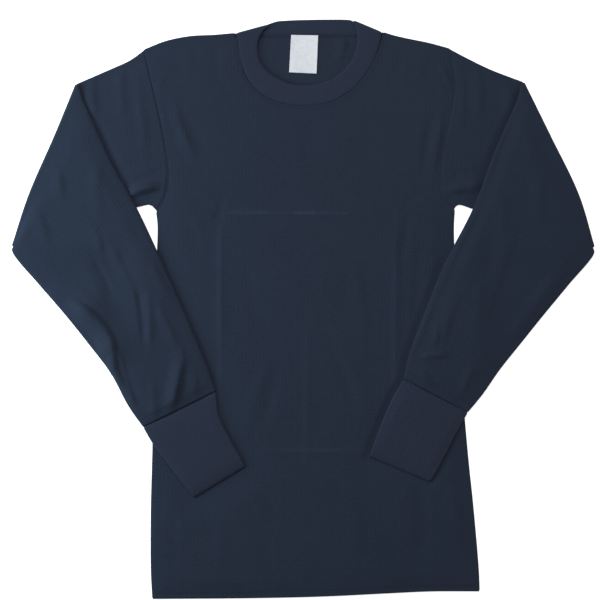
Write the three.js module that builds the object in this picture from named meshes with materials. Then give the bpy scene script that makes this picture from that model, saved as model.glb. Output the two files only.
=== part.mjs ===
// Long-sleeved thermal top in waffle knit, laid flat face up, both sleeves folded over its front.
// Millimetres, +Z up, +Y toward the collar. The origin is the middle of the outline, on the
// surface that the back panel lies on.
import * as THREE from 'three';

// Cloth, seams and layers
const CLOTH = 1.5;                    // thickness of the waffle knit
const RIB = 2.2;                      // thickness of the doubled rib of the collar
const LABEL = 1;                      // thickness of the woven label
const GAP = 0.3;                      // clear space at seams and between layers
const CUT_EDGE = 0.5;                 // how far a cut edge is rounded
const TUBE = 2 * CLOTH + GAP;         // a sleeve or cuff pressed flat
const FRONT_Z = CLOTH + GAP;          // underside of the front panel
const FOLDED_Z = TUBE + GAP;          // underside of a sleeve folded over the front

// Folded sleeves
const FOLD_RADIUS = 0.6;              // inside radius of the fold down the sleeve
const FOLD_STEPS = 5;                 // facets round the fold
const FOLD_SETTLE = 26;               // distance in which the folded part sinks to its layer
const HANG_START = 22;                // how far it bridges beyond what lies under it
const HANG_END = 48;                  // where it reaches the surface
const PRESSED = 14;                   // distance round a sleeve in which the front lies flat
const RISEN = 34;                     // distance from which its folds have their full height

// Folds of the cloth
const FOLD_SAMPLES = 12;              // places along a fold from which its height is taken
const FOLD_TAPER = 0.25;              // share of its length in which a fold rises at either end
const FOLD_END = 0.3;                 // share of its height that it keeps at its ends

// Steps of the meshes
const SLEEVE_ACROSS = 8;
const SLEEVE_UPPER = 5;
const SLEEVE_FOLDED = 15;
const CUFF_STEPS = 4;
const SIDE_STEPS = 15;
const SHOULDER_STEPS = 5;
const HEM_STEPS = 8;
const COLLAR_FRONT_STEPS = 20;
const COLLAR_BACK_STEPS = 8;
const COLLAR_TURN_STEPS = 4;
const COLLAR_ACROSS = 2;
const BEND_BLEND = 4;                 // sections in which the fold's curve passes to straight ones
const FLAT_SECTIONS = 1;              // sections after the bend that stay flat
const RAISED_SECTIONS = 3;            // sections after which the folds have their full height
const COLLAR_RISE = 4;                // sections in which the collar's ends rise to their turn

const table = (names, rows) => rows.map(
  row => Object.fromEntries(names.map((name, i) => [name, row[i]])));

// Body: side edges from hem to armpit
const SIDES = table(['leftX', 'leftY', 'rightX', 'rightY'], [
  [-188.1, -362.5, 220.1, -353.0],
  [-189.9, -326.0, 219.0, -326.0],
  [-189.9, -251.0, 212.6, -251.0],
  [-188.0, -176.0, 204.9, -176.0],
  [-185.5,  -51.0, 194.8,  -51.0],
  [-183.0,   50.0, 189.2,   50.0],
  [-181.5,  104.0, 187.9,  104.0],
  [-183.4,  122.7, 189.1,  125.2],
]);

// Hem from left to right
const HEM = table(['x', 'y'], [
  [-188.1, -362.5],
  [ -66.5, -361.6],
  [  23.5, -359.6],
  [ 110.0, -355.4],
  [ 158.5, -353.2],
  [ 220.1, -353.0],
]);

// Armholes from armpit to shoulder tip
const ARMHOLES = table(['leftX', 'leftY', 'rightX', 'rightY'], [
  [-183.4, 122.7, 189.1, 125.2],
  [-174.0, 137.8, 174.8, 139.0],
  [-169.0, 164.0, 172.2, 164.0],
  [-171.5, 196.5, 176.0, 196.5],
  [-179.0, 236.5, 183.5, 236.5],
  [-189.0, 280.0, 190.4, 280.2],
  [-199.6, 324.0, 184.1, 325.2],
]);

// Shoulder lines from tip to collar
const SHOULDERS = table(['leftX', 'leftY', 'rightX', 'rightY'], [
  [-199.6, 324.0, 184.1, 325.2],
  [-171.5, 335.0, 158.5, 332.2],
  [-141.5, 341.0, 128.5, 338.4],
  [-111.5, 342.6, 113.5, 341.9],
  [ -85.2, 344.9,  99.8, 346.1],
]);

// Collar: sections of the band round the front, from the left shoulder to the right
const COLLAR_FRONT = table(['seamX', 'seamY', 'freeX', 'freeY'], [
  [-84.0, 345.2, -44.5, 356.0],
  [-80.5, 330.0, -56.0, 336.0],
  [-76.5, 305.0, -55.5, 314.0],
  [-66.0, 283.0, -46.5, 298.5],
  [-47.7, 266.5, -32.0, 288.5],
  [-24.0, 257.2, -15.0, 281.5],
  [  2.3, 254.6,   3.5, 279.6],
  [ 33.5, 259.0,  24.0, 283.0],
  [ 58.5, 272.8,  43.5, 292.5],
  [ 77.3, 292.8,  57.0, 306.5],
  [ 88.5, 311.5,  64.5, 320.5],
  [ 94.8, 330.2,  67.6, 339.0],
  [ 98.5, 346.5,  63.5, 361.2],
]);

// Collar: sections of the band round the back, from the right shoulder to the left
const COLLAR_BACK = table(['seamX', 'seamY', 'freeX', 'freeY'], [
  [ 98.5, 346.5,  63.5, 361.2],
  [ 80.0, 344.7,  54.0, 362.3],
  [ 35.0, 344.3,  31.0, 362.5],
  [  2.0, 344.3,   2.0, 362.1],
  [-28.0, 344.3, -21.0, 361.2],
  [-57.0, 344.4, -33.5, 360.0],
  [-84.0, 345.2, -44.5, 356.0],
]);

// Label: corners on the back panel, below the back of the collar
const LABEL_CORNERS = table(['x', 'y'], [
  [-17.6, 296.2],
  [ 16.8, 294.6],
  [ 18.8, 342.6],
  [-15.0, 343.2],
]);

// Sleeves. top and low are the edges from the armhole to the fold, and folded holds a row for
// each section of the part that lies over the front: inner edge, outer edge.
const SLEEVE_LEFT = {
  side: 'left',
  top: table(['x', 'y'], [
    [-199.6, 324.0],
    [-216.5, 311.8],
    [-246.5, 298.1],
    [-284.6, 281.4],
  ]),
  low: table(['x', 'y'], [
    [-183.4, 122.7],
    [-191.0, 130.0],
    [-206.5, 127.8],
    [-290.0, 103.5],
    [-364.4,  79.0],
  ]),
  fold: table(['x', 'y'], [
    [-284.6, 281.4],
    [-310.8, 217.8],
    [-343.4, 142.8],
    [-364.4,  79.0],
  ]),
  folded: table(['innerX', 'innerY', 'outerX', 'outerY'], [
    [-284.6, 281.4, -364.4,  79.0],
    [-266.5, 242.8, -362.6,  70.0],
    [-237.8, 180.3, -330.4,  30.3],
    [-206.5, 124.0, -301.0,  -3.5],
    [-172.8,  51.5, -267.8, -44.8],
    [-143.5, -14.5, -239.4, -82.3],
    [-121.0, -67.5, -219.4,-119.8],
    [-109.0,-102.3, -200.2,-147.2],
  ]),
  cuff: table(['innerX', 'innerY', 'outerX', 'outerY'], [
    [-109.0,-102.3, -200.2,-147.2],
    [-104.0,-134.8, -186.8,-169.8],
    [ -88.0,-167.2, -160.2,-205.2],
    [ -71.5,-196.5, -136.8,-236.2],
  ]),
};

const SLEEVE_RIGHT = {
  side: 'right',
  top: table(['x', 'y'], [
    [184.1, 325.2],
    [203.5, 314.9],
    [233.5, 300.3],
    [276.4, 283.8],
  ]),
  low: table(['x', 'y'], [
    [189.1, 125.2],
    [193.5, 130.2],
    [212.2, 125.2],
    [290.0, 103.5],
    [364.4,  78.0],
  ]),
  fold: table(['x', 'y'], [
    [276.4, 283.8],
    [308.9, 217.8],
    [344.9, 142.8],
    [364.4,  78.0],
  ]),
  folded: table(['innerX', 'innerY', 'outerX', 'outerY'], [
    [276.4, 283.8, 364.4,  78.0],
    [264.8, 256.0, 362.8,  68.5],
    [239.8, 199.0, 332.1,  30.3],
    [211.0, 124.0, 301.0,  -7.3],
    [176.0,  56.0, 270.9, -44.8],
    [154.8,   4.0, 246.0, -76.0],
    [132.0, -57.0, 225.0,-105.5],
    [125.6, -86.6, 206.0,-128.6],
  ]),
  cuff: table(['innerX', 'innerY', 'outerX', 'outerY'], [
    [125.6, -86.6, 206.0,-128.6],
    [111.0,-112.0, 195.5,-147.0],
    [ 97.0,-144.0, 178.5,-180.5],
    [ 82.0,-184.0, 159.5,-216.2],
  ]),
};

// Largest folds, a row for each: where it starts, bends and ends, how wide it is and how high
// the upper layer of cloth stands over it. The panel's run along the lines of the folded pack.
const FOLD_NAMES = ['x0', 'y0', 'x1', 'y1', 'x2', 'y2', 'width', 'height'];
const PANEL_FOLDS = table(FOLD_NAMES, [
  [-105,  95, -106,  20, -105, -75, 15, 1.4],
  [-103,-250, -105,-290, -102,-325, 15, 0.9],
  [ 116, 130,  114,  30,  113, -60, 15, 1.3],
  [ -96, 121,    0, 118,   78, 121, 13, 1.2],
  [   2,-20,     4, -90,    2,-185, 18, 0.8],
  [ -65,-176,    5,-178,   78,-174, 16, 0.9],
  [ -95,-215,  -70,-130,  -40, -60, 16, 0.9],
  [  30, -20,   60, -75,   78,-140, 16, 0.9],
]);
const SLEEVE_FOLDS = table(FOLD_NAMES, [
  [-330,  50, -280, -15, -236, -72, 22, 5.0],
  [-262, 115, -238,  40, -230, -20, 18, 3.0],
  [-222,  20, -205, -55, -178,-105, 20, 3.4],
  [-168, -75, -150,-100, -140,-112, 12, 2.4],
  [-262, 290, -268, 255, -262, 225, 18, 2.2],
  [ 330,  55,  285,   0,  246, -58, 22, 2.6],
  [ 190,  10,  172, -30,  170, -58, 18, 2.2],
  [ 262, 100,  235,  30,  222, -30, 22, 1.6],
  [ 252, 285,  262, 250,  262, 225, 18, 1.8],
]);

// Colours of the knit, the rib and the label
const NAVY_KNIT = 0x29333f;
const NAVY_RIB = 0x2a3140;
const LABEL_WHITE = 0xe2e4e6;

const smooth = (low, high, value) => THREE.MathUtils.smoothstep(value, low, high);
const mix = (a, b, t) => a + (b - a) * t;
const spread = count => Array.from({ length: count + 1 }, (_, i) => i / count);

// A smooth line through the rows of a table, as count + 1 points evenly along it
function line(rows, x, y, count) {
  const points = rows.map(row => new THREE.Vector3(row[x], row[y], 0));
  const curve = new THREE.CatmullRomCurve3(points, false, 'centripetal');
  return spread(count).map(t => curve.getPointAt(t));
}

// The sections of a table, smoothed, as count + 1 pairs of points a and b
function sections(rows, names, count) {
  const through = (x, y) => new THREE.CatmullRomCurve3(
    rows.map(row => new THREE.Vector3(row[x], row[y], 0)), false, 'centripetal');
  const a = through(names[0], names[1]);
  const b = through(names[2], names[3]);
  const middle = new THREE.CatmullRomCurve3(
    rows.map((_, i) => a.points[i].clone().lerp(b.points[i], 0.5)), false, 'centripetal');
  return spread(count).map(u => {
    const t = middle.getUtoTmapping(u);
    return { a: a.getPoint(t), b: b.getPoint(t) };
  });
}

// A line of points moved sideways, to the right of the way it runs
function shifted(points, distance) {
  return points.map((point, i) => {
    const before = points[Math.max(i - 1, 0)];
    const after = points[Math.min(i + 1, points.length - 1)];
    const along = after.clone().sub(before).normalize();
    return new THREE.Vector3(point.x + along.y * distance, point.y - along.x * distance, 0);
  });
}

// The point at a share of the way along a line of points
function at(points, share) {
  const place = share * (points.length - 1);
  const i = Math.min(Math.floor(place), points.length - 2);
  return points[i].clone().lerp(points[i + 1], place - i);
}

// Height of a fold at a point: full along the arc of its row, none beyond its width
function foldHeight(fold, x, y) {
  let height = 0;
  for (const t of spread(FOLD_SAMPLES)) {
    const s = 1 - t;
    const cx = s * s * fold.x0 + 2 * s * t * fold.x1 + t * t * fold.x2;
    const cy = s * s * fold.y0 + 2 * s * t * fold.y1 + t * t * fold.y2;
    const near = 1 - smooth(0, fold.width, Math.hypot(x - cx, y - cy));
    const ends = smooth(0, FOLD_TAPER, Math.min(t, s));
    height = Math.max(height, fold.height * near * mix(FOLD_END, 1, ends));
  }
  return height;
}

const lift = (folds, x, y) => folds.reduce((most, fold) => Math.max(most, foldHeight(fold, x, y)), 0);

// Distance from a point to a closed outline, below zero inside it
function outside(outline, x, y) {
  let nearest = Infinity;
  let inside = false;
  outline.forEach((a, i) => {
    const b = outline[(i + 1) % outline.length];
    const dx = b.x - a.x;
    const dy = b.y - a.y;
    const share = ((x - a.x) * dx + (y - a.y) * dy) / (dx * dx + dy * dy);
    const t = Math.min(Math.max(share, 0), 1);
    nearest = Math.min(nearest, Math.hypot(a.x + t * dx - x, a.y + t * dy - y));
    if ((a.y > y) !== (b.y > y) && x < a.x + (y - a.y) / dy * dx) inside = !inside;
  });
  return inside ? -nearest : nearest;
}

// Share of its folds that the front panel keeps: none where a sleeve or cuff presses on it
function unpressed(x, y) {
  return [SLEEVE_LEFT, SLEEVE_RIGHT].reduce((share, { folded, cuff }) => {
    const rows = [...folded, ...cuff.slice(1)];
    const inner = rows.map(row => ({ x: row.innerX, y: row.innerY }));
    const outer = rows.map(row => ({ x: row.outerX, y: row.outerY })).reverse();
    return share * smooth(PRESSED, RISEN, outside([...inner, ...outer], x, y));
  }, 1);
}

const panelLift = (x, y) => unpressed(x, y) * lift(PANEL_FOLDS, x, y);

// A patch stretched between four edges, its rows running from left to right. The shares of the
// way are measured along the axis that each edge runs by.
function patch(bottom, top, left, right, acrossAxis, upAxis) {
  const share = (points, i, axis) => (
    (points[i][axis] - points[0][axis]) / (points.at(-1)[axis] - points[0][axis]));
  return left.map((_, j) => bottom.map((__, i) => {
    const u = share(top, i, acrossAxis);
    const v = share(left, j, upAxis);
    const coordinate = axis => (
      mix(bottom[i][axis], top[i][axis], v) + mix(left[j][axis], right[j][axis], u)
      - mix(mix(bottom[0][axis], bottom.at(-1)[axis], u), mix(top[0][axis], top.at(-1)[axis], u), v));
    return new THREE.Vector3(coordinate('x'), coordinate('y'), 0);
  }));
}

// A closed geometry, gathered point by point and face by face
class Solid {
  constructor() {
    this.points = [];
    this.faces = [];
  }

  add(point) {
    this.points.push(point.x, point.y, point.z);
    return this.points.length / 3 - 1;
  }

  quad(a, b, c, d) {
    this.faces.push(a, b, c, a, c, d);
  }

  // Faces between rings of points, each joined to the next, inwards where it lines a hollow.
  // Both halves of the rings are cut along matching diagonals, so that their walls stay parallel.
  skin(rings, inwards = false) {
    for (let k = 0; k + 1 < rings.length; k += 1) {
      const ring = rings[k];
      const next = rings[k + 1];
      ring.forEach((a, i) => {
        const j = (i + 1) % ring.length;
        const corners = [a, ring[j], next[j], next[i]];
        if (i >= ring.length / 2) corners.push(corners.shift());
        const [p, q, r, s] = corners;
        if (inwards) this.quad(p, s, r, q);
        else this.quad(p, q, r, s);
      });
    }
  }

  geometry(mirrored = false) {
    if (mirrored) this.faces.reverse();
    const geometry = new THREE.BufferGeometry();
    geometry.setAttribute('position', new THREE.Float32BufferAttribute(this.points, 3));
    geometry.setIndex(this.faces);
    geometry.computeVertexNormals();
    return geometry;
  }
}

function piece(name, geometry, color) {
  const material = new THREE.MeshStandardMaterial({ color, roughness: 0.95, metalness: 0 });
  const mesh = new THREE.Mesh(geometry, material);
  mesh.name = name;
  return mesh;
}

// The way out of the garment, square to the section that the collar turns under at
function turnOutward({ a, b }) {
  const along = b.clone().sub(a).setZ(0).normalize();
  const square = new THREE.Vector3(-along.y, along.x, 0);
  return square.y < 0 ? square.negate() : square;
}

// Body outline, shared by both panels and by the sleeves
function bodyEdges() {
  const side = (name, sign) => ({
    seam: line(SIDES, `${name}X`, `${name}Y`, SIDE_STEPS),
    armhole: line(ARMHOLES, `${name}X`, `${name}Y`, SLEEVE_ACROSS),
    shoulder: line(SHOULDERS, `${name}X`, `${name}Y`, SHOULDER_STEPS),
    sign,
  });
  return { left: side('left', -1), right: side('right', 1) };
}

// Sections of the collar, the end ones drawn in to the axis that the band turns under about
function collarSections() {
  const names = ['seamX', 'seamY', 'freeX', 'freeY'];
  const front = sections(COLLAR_FRONT, names, COLLAR_FRONT_STEPS);
  const back = sections(COLLAR_BACK, names, COLLAR_BACK_STEPS);
  for (const section of [front[0], front.at(-1), back[0], back.at(-1)]) {
    const inward = turnOutward(section).multiplyScalar(-(RIB + FOLD_RADIUS));
    section.a.add(inward);
    section.b.add(inward);
  }
  return { front, back };
}

// Front panel: a sheet that keeps its thickness and rises over its folds, cut round the neck
function frontPanel(edges, collar) {
  const neck = shifted(collar.front.map(section => section.a), GAP);
  const top = [...edges.left.shoulder, ...neck, ...[...edges.right.shoulder].reverse()];
  const rim = name => [...edges[name].seam, ...edges[name].armhole.slice(1)];
  const bottom = line(HEM, 'x', 'y', top.length - 1);
  const grid = patch(bottom, top, rim('left'), rim('right'), 'x', 'y');
  const rows = grid.length - 1;
  const columns = grid[0].length - 1;
  const round = pick => [
    ...spread(columns).map((_, i) => pick(0, i)),
    ...spread(rows).slice(1).map((_, j) => pick(j + 1, columns)),
    ...spread(columns).slice(1).map((_, i) => pick(rows, columns - 1 - i)),
    ...spread(rows).slice(2).map((_, j) => pick(rows - 1 - j, 0)),
  ];
  const outline = round((j, i) => grid[j][i].clone());
  const inner = round((j, i) => grid[j][i]);
  outline.forEach((point, k) => {
    const before = outline.at(k - 1);
    const after = outline[(k + 1) % outline.length];
    const along = after.clone().sub(before).normalize();
    inner[k].x -= along.y * CUT_EDGE;
    inner[k].y += along.x * CUT_EDGE;
  });
  const solid = new Solid();
  const layer = (height, flip) => {
    const ids = grid.map(row => row.map(point => solid.add(
      point.clone().setZ(height + panelLift(point.x, point.y)))));
    for (let j = 0; j < rows; j += 1) {
      for (let i = 0; i < columns; i += 1) {
        const corners = [ids[j][i], ids[j][i + 1], ids[j + 1][i + 1], ids[j + 1][i]];
        solid.quad(...(flip ? corners.reverse() : corners));
      }
    }
    return ids;
  };
  const under = layer(FRONT_Z, true);
  const over = layer(FRONT_Z + CLOTH, false);
  const middle = outline.map(point => solid.add(
    point.setZ(FRONT_Z + CLOTH / 2 + panelLift(point.x, point.y))));
  solid.skin([round((j, i) => under[j][i]), middle, round((j, i) => over[j][i])]);
  return piece('front_panel', solid.geometry(), NAVY_KNIT);
}

// Back panel: flat on the surface, cut a little lower than the back of the collar
function backPanel(edges, collar) {
  const neck = shifted(collar.back.map(section => section.a), -GAP);
  const outline = [
    ...line(HEM, 'x', 'y', HEM_STEPS),
    ...edges.right.seam.slice(1),
    ...edges.right.armhole.slice(1),
    ...edges.right.shoulder.slice(1),
    ...neck,
    ...[...edges.left.shoulder].reverse(),
    ...[...edges.left.armhole].reverse().slice(1),
    ...[...edges.left.seam].reverse().slice(1, -1),
  ];
  const shape = new THREE.Shape(outline.map(point => new THREE.Vector2(point.x, point.y)));
  const geometry = new THREE.ExtrudeGeometry(shape, { depth: CLOTH, bevelEnabled: false });
  return piece('back_panel', geometry, NAVY_KNIT);
}

// A tube of two walls pressed flat. Each station holds its points from one edge to the other, the
// direction of the tube's face, and how much the upper wall is lifted at each point.
function flatTube(name, stations, mirrored, color) {
  const half = TUBE / 2;
  const slit = GAP / 2;
  const solid = new Solid();
  const ring = (station, reach) => {
    const { points, face, lifts, upper } = station;
    const last = points.length - 1;
    const inward = (i, j) => points[j].clone().sub(points[i]).normalize();
    const centres = points.map((point, i) => {
      if (i === 0) return point.clone().addScaledVector(inward(0, 1), half);
      if (i === last) return point.clone().addScaledVector(inward(last, last - 1), half);
      return point;
    });
    const wall = sign => centres.map((point, i) => {
      const raised = sign === upper ? lifts[i] : 0;
      const moved = point.clone().addScaledVector(face, sign * reach);
      moved.z += raised;
      return moved;
    });
    const tip = (i, j) => centres[i].clone().addScaledVector(inward(j, i), reach);
    const round = [...wall(1), tip(last, last - 1), ...wall(-1).reverse(), tip(0, 1)];
    return round.map(point => solid.add(point));
  };
  const outer = stations.map(station => ring(station, half));
  const inner = stations.map(station => ring(station, slit));
  solid.skin(outer);
  solid.skin(inner, true);
  solid.skin([inner[0], outer[0]]);
  solid.skin([outer.at(-1), inner.at(-1)]);
  return piece(name, solid.geometry(mirrored), color);
}

// Height of the underside of a folded sleeve: over the body and its own upper part, and falling
// to the surface beyond them
function restHeight(sleeve, edges, x, y) {
  const { sign, seam } = edges[sleeve.side];
  const level = Math.min(Math.max((y - seam[0].y) / (seam.at(-1).y - seam[0].y), 0), 1);
  const besideBody = sign * (x - at(seam, level).x);
  const armpit = sleeve.low[0];
  const elbow = sleeve.low.at(-1);
  const run = (x - armpit.x) / (elbow.x - armpit.x);
  const belowUpper = mix(armpit.y, elbow.y, Math.min(Math.max(run, 0), 1)) - y;
  const clear = distance => smooth(HANG_START, HANG_END, distance);
  return FOLDED_Z * (1 - clear(besideBody) * clear(belowUpper));
}

// Sleeve: from the armhole out to the fold, round it, and back over the front to the cuff
function sleeveStations(sleeve, edges) {
  const across = spread(SLEEVE_ACROSS);
  const up = new THREE.Vector3(0, 0, 1);
  const half = TUBE / 2;
  const turn = half + FOLD_RADIUS;
  const outward = edges[sleeve.side].sign;
  const folded = sections(sleeve.folded, ['innerX', 'innerY', 'outerX', 'outerY'], SLEEVE_FOLDED);
  const foldEdge = line(sleeve.fold, 'x', 'y', SLEEVE_ACROSS);
  const axis = shifted(foldEdge, outward * (turn + half));
  const sideways = shifted(foldEdge, -outward).map((point, i) => point.sub(foldEdge[i]));
  const armhole = shifted([...edges[sleeve.side].armhole].reverse(), outward * -GAP);
  const top = line(sleeve.top, 'x', 'y', SLEEVE_UPPER);
  const low = line(sleeve.low, 'x', 'y', SLEEVE_UPPER);
  top[0] = armhole[0];
  low[0] = armhole.at(-1);
  top[SLEEVE_UPPER] = axis[0];
  low[SLEEVE_UPPER] = axis.at(-1);
  const upper = patch(armhole, axis, top, low, 'y', 'x').map(points => ({
    points: points.map(point => point.setZ(half)),
    face: up,
    upper: 1,
    lifts: points.map(point => lift(SLEEVE_FOLDS, point.x, point.y)),
  }));
  const bend = spread(FOLD_STEPS).slice(1, -1).map(share => {
    const angle = share * Math.PI;
    const face = sideways[SLEEVE_ACROSS / 2].clone().multiplyScalar(-Math.sin(angle));
    face.z = Math.cos(angle);
    const points = axis.map((point, i) => point.clone()
      .addScaledVector(sideways[i], Math.sin(angle) * turn)
      .setZ(half + turn - Math.cos(angle) * turn));
    return { points, face, upper: 1, lifts: across.map(() => 0) };
  });
  const over = folded.map((section, k) => {
    const near = 1 - smooth(0, BEND_BLEND, k);
    const points = across.map((share, i) => {
      const point = section.a.clone().lerp(section.b, share);
      point.addScaledVector(axis[i].clone().sub(at(foldEdge, share)), near);
      if (k === 0) point.copy(axis[i]);
      const settle = smooth(0, FOLD_SETTLE, point.distanceTo(axis[i]));
      const base = restHeight(sleeve, edges, point.x, point.y);
      return point.setZ(half + base + (1 - settle) * (TUBE + 2 * FOLD_RADIUS - FOLDED_Z));
    });
    const raise = smooth(FLAT_SECTIONS, RAISED_SECTIONS, k);
    return {
      points,
      face: up.clone().negate(),
      upper: -1,
      lifts: points.map(point => raise * lift(SLEEVE_FOLDS, point.x, point.y)),
    };
  });
  return [...upper, ...bend, ...over];
}

// Cuff: a narrower rib tube on the end of the folded sleeve
function cuffStations(sleeve, edges) {
  const parts = sections(sleeve.cuff, ['innerX', 'innerY', 'outerX', 'outerY'], CUFF_STEPS);
  const along = parts[1].a.clone().add(parts[1].b).sub(parts[0].a).sub(parts[0].b).normalize();
  parts[0].a.addScaledVector(along, GAP);
  parts[0].b.addScaledVector(along, GAP);
  return parts.map(({ a, b }) => ({
    points: spread(SLEEVE_ACROSS).map(share => {
      const point = a.clone().lerp(b, share);
      return point.setZ(TUBE / 2 + restHeight(sleeve, edges, point.x, point.y));
    }),
    face: new THREE.Vector3(0, 0, -1),
    upper: -1,
    lifts: spread(SLEEVE_ACROSS).map(() => 0),
  }));
}

// Collar: one ring of doubled rib, over the panels in front, turned under at both shoulders and
// flat on the surface behind
function collarRing(collar) {
  const half = RIB / 2;
  const turn = half + FOLD_RADIUS;
  const frontZ = CLOTH + GAP + half;
  const endZ = half + 2 * turn;
  const solid = new Solid();
  const ring = (a, b, face) => {
    const along = b.clone().sub(a).normalize();
    const seam = a.clone().addScaledVector(along, CUT_EDGE);
    const free = b.clone().addScaledVector(along, -CUT_EDGE);
    const wall = sign => spread(COLLAR_ACROSS).map(
      share => seam.clone().lerp(free, share).addScaledVector(face, sign * half));
    return [...wall(1), b, ...wall(-1).reverse(), a].map(point => solid.add(point));
  };
  const raised = (sectionList, heightAt) => sectionList.map(({ a, b }, k) => ({
    a: a.clone().setZ(heightAt(k)), b: b.clone().setZ(heightAt(k)),
  }));
  const front = raised(collar.front, k => {
    const fromEnd = Math.min(k, COLLAR_FRONT_STEPS - k);
    return mix(endZ, frontZ, smooth(0, COLLAR_RISE, fromEnd));
  });
  const back = raised(collar.back, () => half);
  const turned = start => {
    const sideways = turnOutward(start);
    return spread(COLLAR_TURN_STEPS).slice(1, -1).map(share => {
      const angle = share * Math.PI;
      const move = point => point.clone().setZ(half + turn + Math.cos(angle) * turn)
        .addScaledVector(sideways, Math.sin(angle) * turn);
      const face = sideways.clone().multiplyScalar(Math.sin(angle));
      face.z = Math.cos(angle);
      return [move(start.a), move(start.b), face];
    });
  };
  const up = new THREE.Vector3(0, 0, 1);
  const down = up.clone().negate();
  const rings = [
    ...front.map(({ a, b }) => ring(a, b, up)),
    ...turned(front.at(-1)).map(args => ring(...args)),
    ...back.map(({ a, b }) => ring(a, b, down)),
    ...turned(front[0]).reverse().map(args => ring(...args)),
  ];
  solid.skin([...rings, rings[0]]);
  return piece('collar', solid.geometry(true), NAVY_RIB);
}

// Label: lies on the back panel, its top edge at the collar's seam
function label() {
  const shape = new THREE.Shape(LABEL_CORNERS.map(({ x, y }) => new THREE.Vector2(x, y)));
  const geometry = new THREE.ExtrudeGeometry(shape, { depth: LABEL, bevelEnabled: false });
  const mesh = piece('label', geometry, LABEL_WHITE);
  mesh.position.z = CLOTH + GAP;
  return mesh;
}

const edges = bodyEdges();
const collar = collarSections();
const top = new THREE.Group();
top.name = 'thermal_top';
top.add(frontPanel(edges, collar), backPanel(edges, collar));
for (const sleeve of [SLEEVE_LEFT, SLEEVE_RIGHT]) {
  const { side } = sleeve;
  const mirrored = side === 'left';
  top.add(flatTube(`sleeve_${side}`, sleeveStations(sleeve, edges), mirrored, NAVY_KNIT));
  top.add(flatTube(`cuff_${side}`, cuffStations(sleeve, edges), mirrored, NAVY_RIB));
}
top.add(collarRing(collar), label());

export default top;
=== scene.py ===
# Long-sleeved thermal top in waffle knit, laid flat face up, both sleeves folded over its front.
# Lengths in the tables and functions are millimetres; meshes are made in metres.

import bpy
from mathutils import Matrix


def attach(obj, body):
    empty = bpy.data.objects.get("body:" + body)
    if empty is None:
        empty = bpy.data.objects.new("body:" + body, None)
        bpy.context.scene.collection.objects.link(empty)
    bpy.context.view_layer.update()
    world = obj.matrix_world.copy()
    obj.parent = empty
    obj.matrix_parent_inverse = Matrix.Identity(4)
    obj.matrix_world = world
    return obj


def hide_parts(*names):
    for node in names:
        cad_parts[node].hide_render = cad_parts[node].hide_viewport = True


bl_info = {
    "name": "Thermal Top",
    "version": (1, 0, 0),
    "blender": (4, 5, 0),
    "location": "View3D > Sidebar > Thermal Top",
    "description": "Cloth, ribs, label and sewing of a long-sleeved thermal top laid flat",
    "category": "Object",
}

import bmesh
import bpy
import numpy as np
from bpy.props import FloatProperty, FloatVectorProperty, IntProperty, PointerProperty
from mathutils import Vector

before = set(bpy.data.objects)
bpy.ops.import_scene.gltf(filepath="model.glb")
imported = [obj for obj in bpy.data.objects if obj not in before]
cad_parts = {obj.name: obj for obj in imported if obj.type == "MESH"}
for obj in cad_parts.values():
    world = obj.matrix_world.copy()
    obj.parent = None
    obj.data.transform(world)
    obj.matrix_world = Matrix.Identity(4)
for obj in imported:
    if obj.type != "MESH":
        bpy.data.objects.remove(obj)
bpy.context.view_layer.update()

MM = 0.001

# Cloth and layers
CLOTH = 1.5            # thickness of the waffle knit
RIB = 2.2              # thickness of the doubled rib of the collar
GAP = 0.3              # clear space between layers
TUBE = 2 * CLOTH + GAP
FRONT_Z = CLOTH + GAP
FOLDED_Z = TUBE + GAP
FOLD_RADIUS = 0.6
LABEL = 0.8            # thickness of the woven label
EDGE = 0.6             # how far a cut edge is rounded


def table(names, rows):
    """Columns of a table by name."""
    values = np.array(rows, float)
    return {name: values[:, i] for i, name in enumerate(names.split())}


# Body: side edges from hem to armpit
SIDES = table("left_x left_y right_x right_y", [
    (-188.1, -362.5, 220.1, -353.0),
    (-189.9, -326.0, 219.0, -326.0),
    (-189.9, -251.0, 212.6, -251.0),
    (-188.0, -176.0, 204.9, -176.0),
    (-185.5, -51.0, 194.8, -51.0),
    (-183.0, 50.0, 189.2, 50.0),
    (-181.5, 104.0, 187.9, 104.0),
    (-183.4, 122.7, 189.1, 125.2),
])

# Hem from left to right
HEM = table("x y", [
    (-188.1, -362.5),
    (-66.5, -361.6),
    (23.5, -359.6),
    (110.0, -355.4),
    (158.5, -353.2),
    (220.1, -353.0),
])

# Armholes from armpit to shoulder tip
ARMHOLES = table("left_x left_y right_x right_y", [
    (-183.4, 122.7, 189.1, 125.2),
    (-174.0, 137.8, 174.8, 139.0),
    (-169.0, 164.0, 172.2, 164.0),
    (-171.5, 196.5, 176.0, 196.5),
    (-179.0, 236.5, 183.5, 236.5),
    (-189.0, 280.0, 190.4, 280.2),
    (-199.6, 324.0, 184.1, 325.2),
])

# Shoulder lines from tip to collar
SHOULDERS = table("left_x left_y right_x right_y", [
    (-199.6, 324.0, 184.1, 325.2),
    (-171.5, 335.0, 158.5, 332.2),
    (-141.5, 341.0, 128.5, 338.4),
    (-111.5, 342.6, 113.5, 341.9),
    (-85.2, 344.9, 99.8, 346.1),
])

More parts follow.
